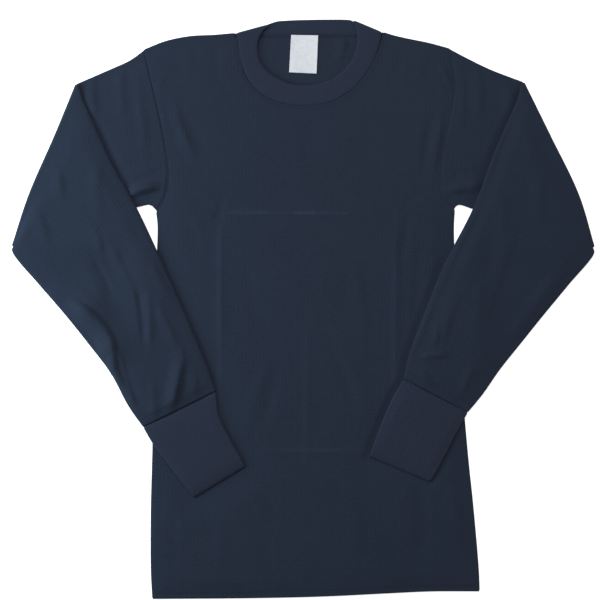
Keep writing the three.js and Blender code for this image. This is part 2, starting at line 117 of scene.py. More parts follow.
# Collar: sections of the band round the front, from the left shoulder to the right
COLLAR_FRONT = table("seam_x seam_y free_x free_y", [
    (-84.0, 345.2, -44.5, 356.0),
    (-80.5, 330.0, -56.0, 336.0),
    (-76.5, 305.0, -55.5, 314.0),
    (-66.0, 283.0, -46.5, 298.5),
    (-47.7, 266.5, -32.0, 288.5),
    (-24.0, 257.2, -15.0, 281.5),
    (2.3, 254.6, 3.5, 279.6),
    (33.5, 259.0, 24.0, 283.0),
    (58.5, 272.8, 43.5, 292.5),
    (77.3, 292.8, 57.0, 306.5),
    (88.5, 311.5, 64.5, 320.5),
    (94.8, 330.2, 67.6, 339.0),
    (98.5, 346.5, 63.5, 361.2),
])

# Collar: sections of the band round the back, from the right shoulder to the left
COLLAR_BACK = table("seam_x seam_y free_x free_y", [
    (98.5, 346.5, 63.5, 361.2),
    (80.0, 344.7, 54.0, 362.3),
    (35.0, 344.3, 31.0, 362.5),
    (2.0, 344.3, 2.0, 362.1),
    (-28.0, 344.3, -21.0, 361.2),
    (-57.0, 344.4, -33.5, 360.0),
    (-84.0, 345.2, -44.5, 356.0),
])

# Label: its lower and upper ends, left to right
LABEL_ENDS = table("left_x left_y right_x right_y", [
    (-17.6, 296.2, 16.8, 294.6),
    (-15.0, 343.2, 18.8, 342.6),
])

# Sleeves: edges from the armhole to the fold, the fold, and sections of the part folded over
SECTION = "inner_x inner_y outer_x outer_y"
SLEEVES = {
    "left": {
        "top": table("x y", [
            (-199.6, 324.0), (-216.5, 311.8), (-246.5, 298.1), (-284.6, 281.4)]),
        "low": table("x y", [
            (-183.4, 122.7), (-191.0, 130.0), (-206.5, 127.8), (-290.0, 103.5),
            (-364.4, 79.0)]),
        "fold": table("x y", [
            (-284.6, 281.4), (-310.8, 217.8), (-343.4, 142.8), (-364.4, 79.0)]),
        "folded": table(SECTION, [
            (-284.6, 281.4, -364.4, 79.0),
            (-266.5, 242.8, -362.6, 70.0),
            (-237.8, 180.3, -330.4, 30.3),
            (-206.5, 124.0, -301.0, -3.5),
            (-172.8, 51.5, -267.8, -44.8),
            (-143.5, -14.5, -239.4, -82.3),
            (-121.0, -67.5, -219.4, -119.8),
            (-109.0, -102.3, -200.2, -147.2)]),
        "cuff": table(SECTION, [
            (-109.0, -102.3, -200.2, -147.2),
            (-104.0, -134.8, -186.8, -169.8),
            (-88.0, -167.2, -160.2, -205.2),
            (-71.5, -196.5, -136.8, -236.2)]),
    },
    "right": {
        "top": table("x y", [
            (184.1, 325.2), (203.5, 314.9), (233.5, 300.3), (276.4, 283.8)]),
        "low": table("x y", [
            (189.1, 125.2), (193.5, 130.2), (212.2, 125.2), (290.0, 103.5),
            (364.4, 78.0)]),
        "fold": table("x y", [
            (276.4, 283.8), (308.9, 217.8), (344.9, 142.8), (364.4, 78.0)]),
        "folded": table(SECTION, [
            (276.4, 283.8, 364.4, 78.0),
            (264.8, 256.0, 362.8, 68.5),
            (239.8, 199.0, 332.1, 30.3),
            (211.0, 124.0, 301.0, -7.3),
            (176.0, 56.0, 270.9, -44.8),
            (154.8, 4.0, 246.0, -76.0),
            (132.0, -57.0, 225.0, -105.5),
            (125.6, -86.6, 206.0, -128.6)]),
        "cuff": table(SECTION, [
            (125.6, -86.6, 206.0, -128.6),
            (111.0, -112.0, 195.5, -147.0),
            (97.0, -144.0, 178.5, -180.5),
            (82.0, -184.0, 159.5, -216.2)]),
    },
}

# Folds and creases, a row for each: start, bend and end, how wide it is on its left and right
# side, how high it stands (below zero for a trough), and how sharp its crest is: 1 for a crease,
# 0 for a soft wave, -1 for a full round bulge.
FOLD = "x0 y0 x1 y1 x2 y2 left right height sharp"
FRONT_FOLDS = table(FOLD, [
    # Lines of the folded pack
    (-98, 120.5, -68, 119.8, -38, 119.6, 4, 14, 1.2, 0.6),
    (-50, 119.6, 0, 119, 50, 119.8, 4, 14, 0.5, 0.6),
    (-14, 119.4, 4, 119.2, 24, 119.4, 4, 12, 0.9, 0.6),
    (30, 119.6, 60, 120, 90, 120.5, 4, 14, 0.45, 0.6),
    (-105, 99, -103, -50, -104, -201, 12, 4, 0.45, 0.6),
    (115, 124, 114, 10, 113.5, -114, 12, 4, 0.35, 0.6),
    (2, -26, 5, -107, 1, -188, 12, 4, 0.35, 0.6),
    (-66, -176, 5, -178.5, 77, -176, 4, 12, 0.7, 0.6),
    (-184.5, -180, -186, -260, -185.5, -345, 7, 2.5, 0.6, 0.3),
    # Broad folds beside them
    (-105, 95, -106, 20, -105, -75, 16, 12, 0.6, 0.1),
    (-103, -250, -105, -290, -102, -325, 15, 15, 0.7, 0.1),
    (117, 130, 115, 30, 114, -60, 12, 16, 0.6, 0.1),
    (2, -20, 4, -90, 2, -185, 18, 18, 0.4, 0),
    # Soft troughs over the belly and chest
    (-98, 149, -104, 124, -107, 99, 9, 12, -0.9, 0.2),
    (-29, -63, -39, -107, -51, -151, 12, 16, -1.1, 0.2),
    (27, -20, 52, -76, 77, -138, 12, 16, -1.1, 0.2),
    (133, 118, 126, 86, 121, 49, 9, 14, -1.0, 0.2),
    (146, 99, 143, 36, 140, -26, 12, 12, -0.7, 0.1),
    (-95, -215, -70, -130, -40, -60, 16, 12, 0.8, 0),
    (30, -20, 60, -75, 78, -140, 16, 12, 0.7, 0),
    (-72, 214, -48, 196, -14, 190, 12, 14, -0.7, 0.1),
    (60, 214, 86, 196, 104, 168, 12, 14, -0.7, 0.1),
    (-138, 118, -126, 96, -120, 64, 10, 12, 0.8, 0.2),
    (-16, 70, 14, 40, 22, 4, 14, 18, -0.6, 0),
    (-76, 58, -62, 26, -60, -12, 12, 16, -0.6, 0),
    (62, 66, 70, 30, 64, -8, 12, 16, 0.5, 0),
    # Towards the hem
    (-164, -240, -158, -290, -162, -340, 10, 14, -0.8, 0.1),
    (-44, -228, -36, -276, -46, -330, 14, 18, -0.8, 0.1),
    (58, -216, 70, -262, 62, -318, 14, 18, 0.7, 0.1),
    (142, -196, 156, -256, 150, -322, 12, 18, -0.9, 0.1),
    (186, -206, 194, -262, 198, -316, 9, 12, 0.8, 0.2),
    (104, -336, 150, -330, 196, -334, 8, 10, 0.5, 0.1),
    (-150, -344, -110, -338, -62, -342, 8, 10, 0.5, 0.1),
    # Below the armholes and along them
    (-161, 257, -153, 226, -135, 187, 7, 14, 2.2, 0.2),
    (-148, 250, -139, 222, -124, 190, 12, 8, -1.0, 0.2),
    (-180, 262, -175, 240, -173, 222, 6, 8, 1.0, 0.3),
    (-172, 288, -178, 283, -182, 276, 4, 7, 1.4, 0.3),
    (168, 309, 182, 293, 188, 272, 4, 12, 1.7, 0.3),
    (158, 306, 170, 288, 176, 262, 8, 10, 0.9, 0.2),
    (174, 246, 169, 205, 162, 164, 5, 13, 1.9, 0.2),
    (160, 240, 154, 204, 148, 168, 10, 8, -0.8, 0.2),
    (-150, 152, -138, 140, -118, 134, 7, 9, -0.7, 0.2),
    (150, 150, 138, 136, 120, 128, 7, 9, -0.7, 0.2),
    # Round the neck and on the shoulders
    (-108, 330, -112, 306, -104, 284, 9, 12, -0.8, 0.2),
    (124, 326, 122, 302, 112, 282, 9, 12, -0.8, 0.2),
    (-30, 246, 2, 240, 34, 247, 6, 10, 0.5, 0.1),
    (-148, 330, -142, 310, -146, 286, 10, 12, 0.6, 0.1),
    (150, 322, 146, 304, 150, 286, 10, 12, 0.6, 0.1),
])

# Painted highlights along lines pressed into the front while it was packed, standing in for light on
# their crests: ends, width and how pale they are
CREASE_HIGHLIGHT_LINES = table("x0 y0 x1 y1 width share", [
    (-92, 120.5, -46, 120.4, 3.2, 0.34),
    (-46, 120.4, -9, 120.3, 3.2, 0.12),
    (-9, 120.3, 12, 120.2, 3.2, 0.36),
    (12, 120.2, 54, 120.0, 3.2, 0.2),
    (-105.5, 104, -104, -196, 5, 0.17),
    (115, 124, 113.5, -112, 6, 0.1),
    (3, -30, 2, -186, 5, 0.08),
    (-66, -176.5, 77, -176.5, 4, 0.08),
])

# Folds of the back panel, on the side that the top lies on
BACK_FOLDS = table(FOLD, [
    (-104, 99, -103, -50, -104, -201, 5, 5, 0.45, 0.6),
    (115, 124, 114, 10, 113.5, -114, 5, 5, 0.45, 0.6),
    (-98, 120.5, 0, 119, 90, 120.5, 5, 6, 0.25, 0.6),
    (-66, -176, 5, -178.5, 77, -176, 5, 6, 0.3, 0.6),
    (-20, 250, 6, 190, -8, 140, 12, 16, 0.6, 0.2),
    (-140, 40, -120, -20, -130, -90, 12, 16, 0.6, 0.2),
    (60, 60, 84, 0, 70, -70, 12, 16, 0.6, 0.2),
    (-60, -230, -30, -270, -40, -330, 14, 18, 0.6, 0.2),
    (120, -210, 140, -260, 130, -320, 14, 18, 0.6, 0.2),
    (-150, 260, -130, 220, -140, 180, 12, 12, 0.5, 0.2),
    (150, 250, 138, 210, 146, 170, 12, 12, 0.5, 0.2),
    (49, 350, 54, 326, 42, 306, 7, 12, 1.6, 0.1),
])

# Folds of the sleeves between armhole and fold
UPPER_FOLDS = table(FOLD, [
    # Left, the tuck under the arm last
    (-262, 292, -268, 262, -258, 232, 10, 16, 2.0, 0.1),
    (-226, 308, -230, 270, -222, 236, 8, 14, 1.3, 0.2),
    (-206, 292, -202, 262, -204, 232, 5, 10, 1.1, 0.2),
    (-198, 262, -200, 226, -196, 190, 6, 12, 1.2, 0.2),
    (-212, 170, -200, 174, -186, 170, 9, 6, 1.1, 0.1),
    (-236, 133, -208, 148, -174, 151, 15, 3, 7.5, 0.3),
    # Right
    (254, 287, 264, 256, 256, 228, 10, 16, 1.7, 0.1),
    (216, 306, 224, 272, 218, 236, 8, 14, 1.3, 0.2),
    (198, 296, 202, 262, 196, 228, 5, 10, 1.1, 0.2),
    (244, 141, 222, 151, 202, 156, 3, 14, 6.0, 0.3),
    (216, 147, 198, 149, 176, 145, 3, 12, 4.2, 0.3),
    (218, 176, 206, 180, 190, 178, 6, 9, 1.1, 0.1),
])

# Folds of the parts that lie over the front
OVER_FOLDS = table(FOLD, [
    # Left sleeve: the deep curved fold below the elbow and the bulge outside it
    (-301, 15, -230, -15, -237, -72, 6, 22, 4.4, -1),
    (-302, 14, -231, -15, -238, -76, 38, 27, 8.0, 0.2),
    (-240, -52, -237, -76, -226, -104, 8, 13, 3.6, 0.1),
    (-296, 16, -226, -13, -233, -70, 8, 4, -1.4, 0.3),
    (-246, -58, -230, -92, -209, -126, 10, 14, 2.4, 0.1),
    # between it and the inner edge
    (-208, 30, -201, 6, -199, -46, 10, 6, -2.6, 0.3),
    (-193, 24, -190, -8, -192, -52, 9, 8, 1.9, 0.2),
    (-263, 66, -251, 42, -238, 18, 8, 5, -1.5, 0.3),
    (-275, 60, -262, 34, -246, 6, 10, 12, 1.1, 0.2),
    (-262, 107, -254, 90, -250, 66, 6, 14, 1.2, 0.3),
    (-240, 84, -230, 58, -214, 30, 8, 14, 1.6, 0.2),
    (-233, -43, -224, -84, -208, -130, 6, 14, 2.2, 0.3),
    # tuck at the cuff
    (-148.5, -58, -155.5, -88, -166, -138, 6, 16, 5.4, 0.1),
    (-143, -66, -149, -92, -156, -122, 7, 3, -1.4, 0.3),
    (-134, -80, -132, -94, -136, -110, 6, 9, 1.0, 0.2),
    (-188, -136, -186, -112, -190, -90, 7, 9, 1.2, 0.2),
    # above the elbow
    (-312, 193, -302, 164, -300, 130, 8, 16, 1.5, 0.1),
    (-291, 249, -288, 222, -292, 193, 8, 14, 1.3, 0.1),
    (-252, 186, -262, 150, -250, 116, 10, 16, 1.3, 0.1),
    (-336, 128, -324, 104, -318, 74, 10, 16, 1.5, 0.1),
    (-180, 6, -168, -24, -152, -50, 8, 12, 1.5, 0.2),
    (-190, 64, -180, 40, -164, 12, 8, 12, 1.4, 0.1),
    # Right sleeve, the seam beside its inner edge first
    (261, 256, 240, 204, 214, 124, 9, 3, 1.3, 0.3),
    (219, 134, 186, 70, 158, 4, 9, 3, 1.3, 0.3),
    (162, 14, 148, -20, 134, -58, 9, 3, 1.2, 0.3),
    (332, 56, 292, 4, 256, -46, 20, 16, 2.4, 0),
    (190, 14, 176, -16, 172, -46, 9, 14, 1.6, 0.1),
    (146, -61, 161, -56, 182, -59, 10, 4, 2.7, 0.3),
    (143, -73, 154, -84, 161, -96, 5, 9, 1.7, 0.3),
    (166, -12, 166, -30, 163, -47, 6, 12, 1.6, 0.3),
    (262, 100, 240, 34, 222, -26, 12, 20, 1.4, 0),
    (300, 176, 290, 140, 296, 104, 12, 18, 1.2, 0.1),
    (280, 244, 288, 214, 282, 182, 10, 14, 1.1, 0.1),
    (242, 150, 254, 118, 246, 84, 10, 16, 1.0, 0.1),
    (226, 40, 214, 6, 218, -24, 10, 14, 1.1, 0.1),
    (212, -66, 206, -88, 198, -108, 8, 10, 1.4, 0.2),
])

# Steps of the meshes
SIDE_STEPS = 170
ARMHOLE_STEPS = 66
SHOULDER_STEPS = 34
NECK_STEPS = 84
SLEEVE_ACROSS = 62
UPPER_STEPS = 46
BEND_STEPS = 10
FOLDED_STEPS = 126
TIP_STEPS = 4
CURVE_STEPS = 60

# Where the folded sleeves sink to the layer below
SETTLE = 26
HANG_START = 12
HANG_END = 60
PRESSED = 2
RISEN = {"left": 42, "right": 10}
RISEN_ABOVE = {"left": 12, "right": 8}  # the same above the armpits


def mix(a, b, t):
    return a + (b - a) * t


def smooth(low, high, value):
    t = np.clip((value - low) / (high - low), 0, 1)
    return t * t * (3 - 2 * t)


def columns(rows, *names):
    return np.stack([rows[name] for name in names], axis=-1)


def unit(vectors):
    return vectors / np.maximum(np.linalg.norm(vectors, axis=-1, keepdims=True), 1e-9)


def through(points):
    """Close samples of a smooth line through points."""
    padded = np.vstack([2 * points[0] - points[1], points, 2 * points[-1] - points[-2]])
    t = np.linspace(0, 1, CURVE_STEPS, endpoint=False)[:, None]
    runs = []
    for p0, p1, p2, p3 in zip(padded, padded[1:], padded[2:], padded[3:]):
        d0, d1, d2 = (np.linalg.norm(b - a) ** 0.5 for a, b in ((p0, p1), (p1, p2), (p2, p3)))
        start = ((p1 - p0) / d0 - (p2 - p0) / (d0 + d1) + (p2 - p1) / d1) * d1
        end = ((p2 - p1) / d1 - (p3 - p1) / (d1 + d2) + (p3 - p2) / d2) * d1
        runs.append((2 * t**3 - 3 * t**2 + 1) * p1 + (t**3 - 2 * t**2 + t) * start
                    + (3 * t**2 - 2 * t**3) * p2 + (t**3 - t**2) * end)
    return np.vstack([*runs, points[-1:]])


def travel(points):
    """Distance along a line of points at each of them."""
    steps = np.linalg.norm(np.diff(points, axis=0), axis=1)
    return np.concatenate([[0], np.cumsum(steps)])


def pick(points, along, places):
    """Points at places along a line whose distances are given."""
    return np.stack([np.interp(places, along, points[:, i]) for i in range(points.shape[1])], -1)


def even(points, steps):
    along = travel(points)
    return pick(points, along, np.linspace(0, along[-1], steps + 1))


def line(rows, x, y, steps):
    return even(through(columns(rows, x, y)), steps)


def sections(rows, names, steps):
    """Both ends of sections spread evenly along the middle of a table's sections."""
    ends = columns(rows, *names.split())
    a, b = through(ends[:, :2]), through(ends[:, 2:])
    along = travel(through((ends[:, :2] + ends[:, 2:]) / 2))
    places = np.linspace(0, along[-1], steps + 1)
    return pick(a, along, places), pick(b, along, places)


def shifted(points, distance):
    """A line moved to the right of the way it runs."""
    run = unit(np.gradient(points, axis=0))
    return points + distance * np.stack([run[:, 1], -run[:, 0]], -1)


def outside(outline, points):
    """Distance from points to a closed outline, below zero inside it."""
    x, y = points[..., 0], points[..., 1]
    nearest = np.full(x.shape, np.inf)
    inside = np.zeros(x.shape, bool)
    for a, b in zip(outline, np.roll(outline, -1, axis=0)):
        d = b - a
        if not d.any():
            continue
        share = np.clip(((x - a[0]) * d[0] + (y - a[1]) * d[1]) / (d @ d), 0, 1)
        nearest = np.minimum(
            nearest, np.hypot(a[0] + share * d[0] - x, a[1] + share * d[1] - y))
        if d[1]:
            inside ^= ((a[1] > y) != (b[1] > y)) & (x < a[0] + (y - a[1]) / d[1] * d[0])
    return np.where(inside, -nearest, nearest)


ARC = np.linspace(0, 1, 15)


def fold_height(fold, points):
    """Height of one fold at points: full along its arc, none beyond its width."""
    s = 1 - ARC
    arc = np.stack([s * s * fold[f"{axis}0"] + 2 * s * ARC * fold[f"{axis}1"]
                    + ARC**2 * fold[f"{axis}2"] for axis in "xy"], -1)
    reach = max(fold["left"], fold["right"])
    low, high = arc.min(axis=0) - reach, arc.max(axis=0) + reach
    height = np.zeros(points.shape[:-1])
    close = np.all((points > low) & (points < high), axis=-1)
    x, y = points[close][:, 0], points[close][:, 1]
    nearest = np.full(x.shape, np.inf)
    side = np.zeros(x.shape)
    place = np.zeros(x.shape)
    for k, (a, b) in enumerate(zip(arc, arc[1:])):
        d = b - a
        share = np.clip(((x - a[0]) * d[0] + (y - a[1]) * d[1]) / (d @ d), 0, 1)
        off_x, off_y = x - a[0] - share * d[0], y - a[1] - share * d[1]
        away = np.hypot(off_x, off_y)
        near = away < nearest
        nearest = np.where(near, away, nearest)
        side = np.where(near, d[0] * off_y - d[1] * off_x, side)
        place = np.where(near, (k + share) / (len(ARC) - 1), place)
    t = np.clip(nearest / np.where(side > 0, fold["left"], fold["right"]), 0, 1)
    soft = 1 - t * t * (3 - 2 * t)
    profile = mix(soft, (1 - t) ** 2 if fold["sharp"] > 0 else 1 - t * t, abs(fold["sharp"]))
    ends = smooth(0, 0.3, np.minimum(place, 1 - place))
    uneven = 0.85 + 0.15 * np.sin(9 * place + fold["x0"])
    height[close] = fold["height"] * profile * (0.2 + 0.8 * ends) * uneven
    return height


def folds_at(folds, points):
    """Sum of the ridges and troughs of a table at points."""
    total = np.zeros(points.shape[:-1])
    for i in range(len(folds["x0"])):
        total += fold_height({name: values[i] for name, values in folds.items()}, points)
    return total


# Slow swells of the cloth: wave length across, wave length along, start, height
SWELLS = ((173, 241, 0.4, 0.30), (-97, 311, 1.9, 0.22), (139, -119, 3.1, 0.18),
          (67, 211, 4.4, 0.12), (-331, 83, 5.2, 0.16))


def swell(points):
    return sum(height * np.sin(2 * np.pi * (points[..., 0] / across + points[..., 1] / along)
                               + start)
               for across, along, start, height in SWELLS)


def patch(bottom, top, left, right, across, up):
    """Grid stretched between four edges, shares taken along the axis that each edge runs by."""
    def share(points, axis):
        return (points[:, axis] - points[0, axis]) / (points[-1, axis] - points[0, axis])
    u = share(top, across)[None, :, None]
    v = share(left, up)[:, None, None]
    return (mix(bottom[None], top[None], v) + mix(left[:, None], right[:, None], u)
            - mix(mix(bottom[0], bottom[-1], u), mix(top[0], top[-1], u), v))


def grid_faces(ids, wrap=False):
    """Quads between the rows of a grid of point numbers."""
    after = np.roll(ids, -1, axis=1) if wrap else ids[:, 1:]
    before = ids if wrap else ids[:, :-1]
    return np.stack([before[:-1], after[:-1], after[1:], before[1:]], -1).reshape(-1, 4)


def around(grid):
    """The border of a grid, once round."""
    return np.concatenate([grid[0], grid[1:, -1], grid[-1, -2::-1], grid[-2:0:-1, 0]])


def piece(name, points, faces, cloth, material, nodes=()):
    """A closed piece from points in millimetres, its cloth coordinates kept as an attribute."""
    mesh = bpy.data.meshes.new(name)
    mesh.from_pydata((points * MM).tolist(), [], [list(map(int, face)) for face in faces])
    attribute = mesh.attributes.new("cloth", "FLOAT_VECTOR", "POINT")
    attribute.data.foreach_set("vector", np.asarray(cloth, float).ravel())
    form = bmesh.new()
    form.from_mesh(mesh)
    bmesh.ops.recalc_face_normals(form, faces=form.faces)
    form.to_mesh(mesh)
    form.free()
    mesh.polygons.foreach_set("use_smooth", [True] * len(mesh.polygons))
    mesh.materials.append(material)
    made = bpy.data.objects.new(name, mesh)
    bpy.context.scene.collection.objects.link(made)
    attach(made, "root")
    if nodes:
        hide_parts(*nodes)
    return made


def shell(grid, low, high):
    """A sheet between two heights over a grid, its border rounded."""
    rim = around(grid)
    run = unit(np.roll(rim, -1, axis=0) - np.roll(rim, 1, axis=0))
    out = np.stack([run[:, 1], -run[:, 0]], -1)
    inner = grid.copy()
    rows, cols = grid.shape[:2]
    ids = np.arange(rows * cols).reshape(rows, cols)
    border = around(ids)
    inner.reshape(-1, 2)[border] -= out * EDGE
    under = np.dstack([inner, low]).reshape(-1, 3)
    over = np.dstack([inner, high]).reshape(-1, 3)
    base, top = under[border], over[border]
    rings = []
    for angle in np.linspace(-np.pi / 2, np.pi / 2, TIP_STEPS + 1)[1:-1]:
        ring = mix(base, top, (1 + np.sin(angle)) / 2)
        ring[:, :2] += out * EDGE * np.cos(angle)
        rings.append(ring)
    points = np.vstack([under, over, *rings])
    first = 2 * len(under) + np.arange(len(rings) * len(border)).reshape(len(rings), -1)
    belt = np.vstack([border, first, border + len(under)])
    faces = [*grid_faces(ids)[:, ::-1], *grid_faces(ids + len(under)), *grid_faces(belt, True)]
    cloth = points.copy()
    return points, faces, cloth


# Edge of a pressed tube in section, from its upper wall to its lower: height, reach outward
ROUND_TIP = np.array([(0.71, 0.71), (0.0, 1.0), (-0.71, 0.71)])
LEANED_TIP = np.array([(0.72, 0.5), (0.12, 0.84), (-0.6, 1.0)])


def drawn(stations, start, end, least):
    """Share of its full thickness at each station of a tube that draws in at its ends."""
    places = np.arange(stations)
    share = np.minimum(places / start, (stations - 1 - places) / end)
    return mix(least, 1, np.clip(share, 0, 1) ** 0.5)


def tube(form):
    """Rings of a tube pressed flat: outer wall and lining of each station, tips rounded."""
    points, face, lifts, upper = (form[name] for name in ("points", "face", "lifts", "upper"))
    share = np.linspace(0, 1, points.shape[1])
    run = unit(np.gradient(points, axis=1))
    centres = points + run * (TUBE / 2 * (1 - 2 * share))[None, :, None]
    tips = mix(ROUND_TIP, LEANED_TIP, form["lean"][:, None, None])

    def ring(reach, relief):
        reach = (reach * form["draw"])[:, None, None]

        def wall(sign):
            top = (upper == sign)[:, None]
            moved = centres + face * sign * (reach + (top * relief)[..., None])
            moved[..., 2] += top * lifts
            return moved

        def tip(i, out, start):
            shape = np.where((upper == start)[:, None, None], tips, tips[:, ::-1])
            up = (upper[:, None] * face[:, i])[:, None]
            made = centres[:, i][:, None] + reach * (shape[..., :1] * up
                                                     + shape[..., 1:] * out[:, None])
            made[..., 2] += lifts[:, i][:, None] * (1 + shape[..., 0]) / 2
            return made
        return np.concatenate([wall(1), tip(-1, run[:, -1], 1), wall(-1)[:, ::-1],
                               tip(0, -run[:, 0], -1)], axis=1)
    return ring(TUBE / 2, form["relief"]), ring(GAP / 2, np.zeros(points.shape[1]))


def tube_piece(name, rings, across, along, material, nodes):
    """A closed piece from the outer and inner rings of a tube."""
    outer, inner = rings
    count = outer.shape[1]
    ids = np.arange(outer.shape[0] * count).reshape(-1, count)
    lining = ids + ids.size
    faces = [*grid_faces(ids, True), *grid_faces(lining[::-1], True),
             *grid_faces(np.stack([lining[0], ids[0]]), True),
             *grid_faces(np.stack([ids[-1], lining[-1]]), True)]
    points = np.concatenate([outer, inner]).reshape(-1, 3)
    half = np.concatenate([across, np.repeat(across[:, -1:], TIP_STEPS - 1, axis=1)], axis=1)
    back = np.concatenate([across[:, ::-1], np.repeat(across[:, :1], TIP_STEPS - 1, axis=1)],
                          axis=1)
    u = np.concatenate([half, back], axis=1)
    v = np.broadcast_to(along[:, None], u.shape)
    cloth = np.tile(np.stack([u, v, 0 * u], -1).reshape(-1, 3), (2, 1))
    made = piece(name, points, faces, cloth, material, nodes)
    smoothed = np.arange(len(faces)) < len(faces) - 2 * count
    made.data.polygons.foreach_set("use_smooth", smoothed)
    return made


# Outlines that several pieces share

def body_edges():
    """Side seam, armhole and shoulder line of either side."""
    return {side: {
        "seam": line(SIDES, f"{side}_x", f"{side}_y", SIDE_STEPS),
        "armhole": line(ARMHOLES, f"{side}_x", f"{side}_y", ARMHOLE_STEPS),
        "shoulder": line(SHOULDERS, f"{side}_x", f"{side}_y", SHOULDER_STEPS),
    } for side in ("left", "right")}


EDGES = body_edges()
SIGN = {"left": -1, "right": 1}


def sleeve_outline(side, parts=("folded", "cuff")):
    """Outline of the part of a sleeve that lies over the front."""
    rows = [columns(SLEEVES[side][part], *SECTION.split()) for part in parts]
    rows = np.vstack([rows[0], *[row[1:] for row in rows[1:]]])
    return np.vstack([rows[:, :2], rows[::-1, 2:]])


def pressed_share(points):
    """1 where no sleeve presses on the cloth, 0 under one."""
    share = 1
    above = smooth(60, 125, points[..., 1])
    for side in SLEEVES:
        risen = mix(RISEN[side], RISEN_ABOVE[side], above)
        share = share * smooth(PRESSED, risen, outside(sleeve_outline(side), points))
    return share


def back_height(points):
    """Height of the back panel's cloth over the surface that it lies on."""
    rim = outside(body_outline(), points)
    risen = np.clip(folds_at(BACK_FOLDS, points), 0, None) * smooth(0, 12, -rim)
    return risen * pressed_share(points)


def body_outline():
    left, right = EDGES["left"], EDGES["right"]
    return np.vstack([
        line(HEM, "x", "y", 24), right["seam"][::6], right["armhole"][::4],
        right["shoulder"][::5], left["shoulder"][::-5], left["armhole"][::-4],
        left["seam"][::-6]])


def whole_outline():
    """Outline of the laid-out body and sleeves, straight across the neck."""
    halves = {}
    for side, sleeve in SLEEVES.items():
        halves[side] = np.vstack([
            EDGES[side]["seam"][::6], columns(sleeve["low"], "x", "y"),
            columns(sleeve["fold"], "x", "y")[::-1], columns(sleeve["top"], "x", "y")[::-1],
            EDGES[side]["shoulder"][::5]])
    return np.vstack([line(HEM, "x", "y", 24), halves["right"], halves["left"][::-1]])


SEAM_LIP = 0.08        # how far the panel stands up beside the armhole seam
HEM_ROLL = 0.5         # how far the hem stands up outside its stitching


def front_height(points, loft):
    """Height of the front panel's underside."""
    free = pressed_share(points)
    rim = -outside(body_outline(), points)
    whole = -outside(whole_outline(), points)
    lifted = loft * smooth(0, 30, whole) + 0.45 * swell(points) * smooth(4, 26, whole)
    lifted = lifted + folds_at(FRONT_FOLDS, points) * smooth(0, 8, rim)
    for side in EDGES:
        armhole = EDGES[side]["armhole"][::4]
        strip = np.vstack([armhole, armhole[-2:0:-1]])
        away = outside(strip, points)
        lifted = lifted + SEAM_LIP * np.exp(-((away - 3.5) / 2.4) ** 2)
    below = points[..., 1] - np.interp(points[..., 0], HEM["x"], HEM["y"])
    lifted = lifted + HEM_ROLL * (np.exp(-((below - 2.2) / 1.5) ** 2)
                                  - 0.8 * np.exp(-((below - 5.2) / 1.2) ** 2))
    settled = GAP * (1 - smooth(0, 12, rim))
    return FRONT_Z - settled + back_height(points) + np.clip(lifted, 0, None) * free


def neck_line(which):
    """Seam line of the collar on a panel, left to right."""
    rows = COLLAR_FRONT if which == "front" else COLLAR_BACK
    seam, _ = sections(rows, "seam_x seam_y free_x free_y", NECK_STEPS)
    return seam if which == "front" else seam[::-1]


def body_grid(which):
    """Grid of points of a body panel, from hem to shoulders and neck."""
    neck = neck_line(which)
    if which == "front":
        neck = shifted(neck, GAP)
    else:
        neck = neck + np.array([0, -GAP])
    top = np.vstack([EDGES["left"]["shoulder"][:-1], neck, EDGES["right"]["shoulder"][-2::-1]])
    rims = [np.vstack([EDGES[side]["seam"], EDGES[side]["armhole"][1:]]) for side in EDGES]
    bottom = line(HEM, "x", "y", len(top) - 1)
    return patch(bottom, top, *rims, 0, 1)


def rest_height(side, points):
    """Height of the underside of a folded sleeve over what lies below it."""
    x, y = points[..., 0], points[..., 1]
    seam = EDGES[side]["seam"]
    beside = SIGN[side] * (x - np.interp(y, seam[:, 1], seam[:, 0]))
    low = columns(SLEEVES[side]["low"], "x", "y")
    armpit, elbow = low[0], low[-1]
    run = np.clip((x - armpit[0]) / (elbow[0] - armpit[0]), 0, 1)
    below = mix(armpit[1], elbow[1], run) - y
    clear = smooth(HANG_START, HANG_END, beside) * smooth(HANG_START, HANG_END, below)
    return FOLDED_Z * (1 - clear)


SEAM_DRAW = 0.9        # share of its thickness that a tube keeps where it is sewn
ROLL = {"left": 1.3, "right": 0.2}  # how high a folded sleeve rolls up beside its edges
LEAN = {"left": 1, "right": 0.3}    # how far its edges lean down to what it lies on


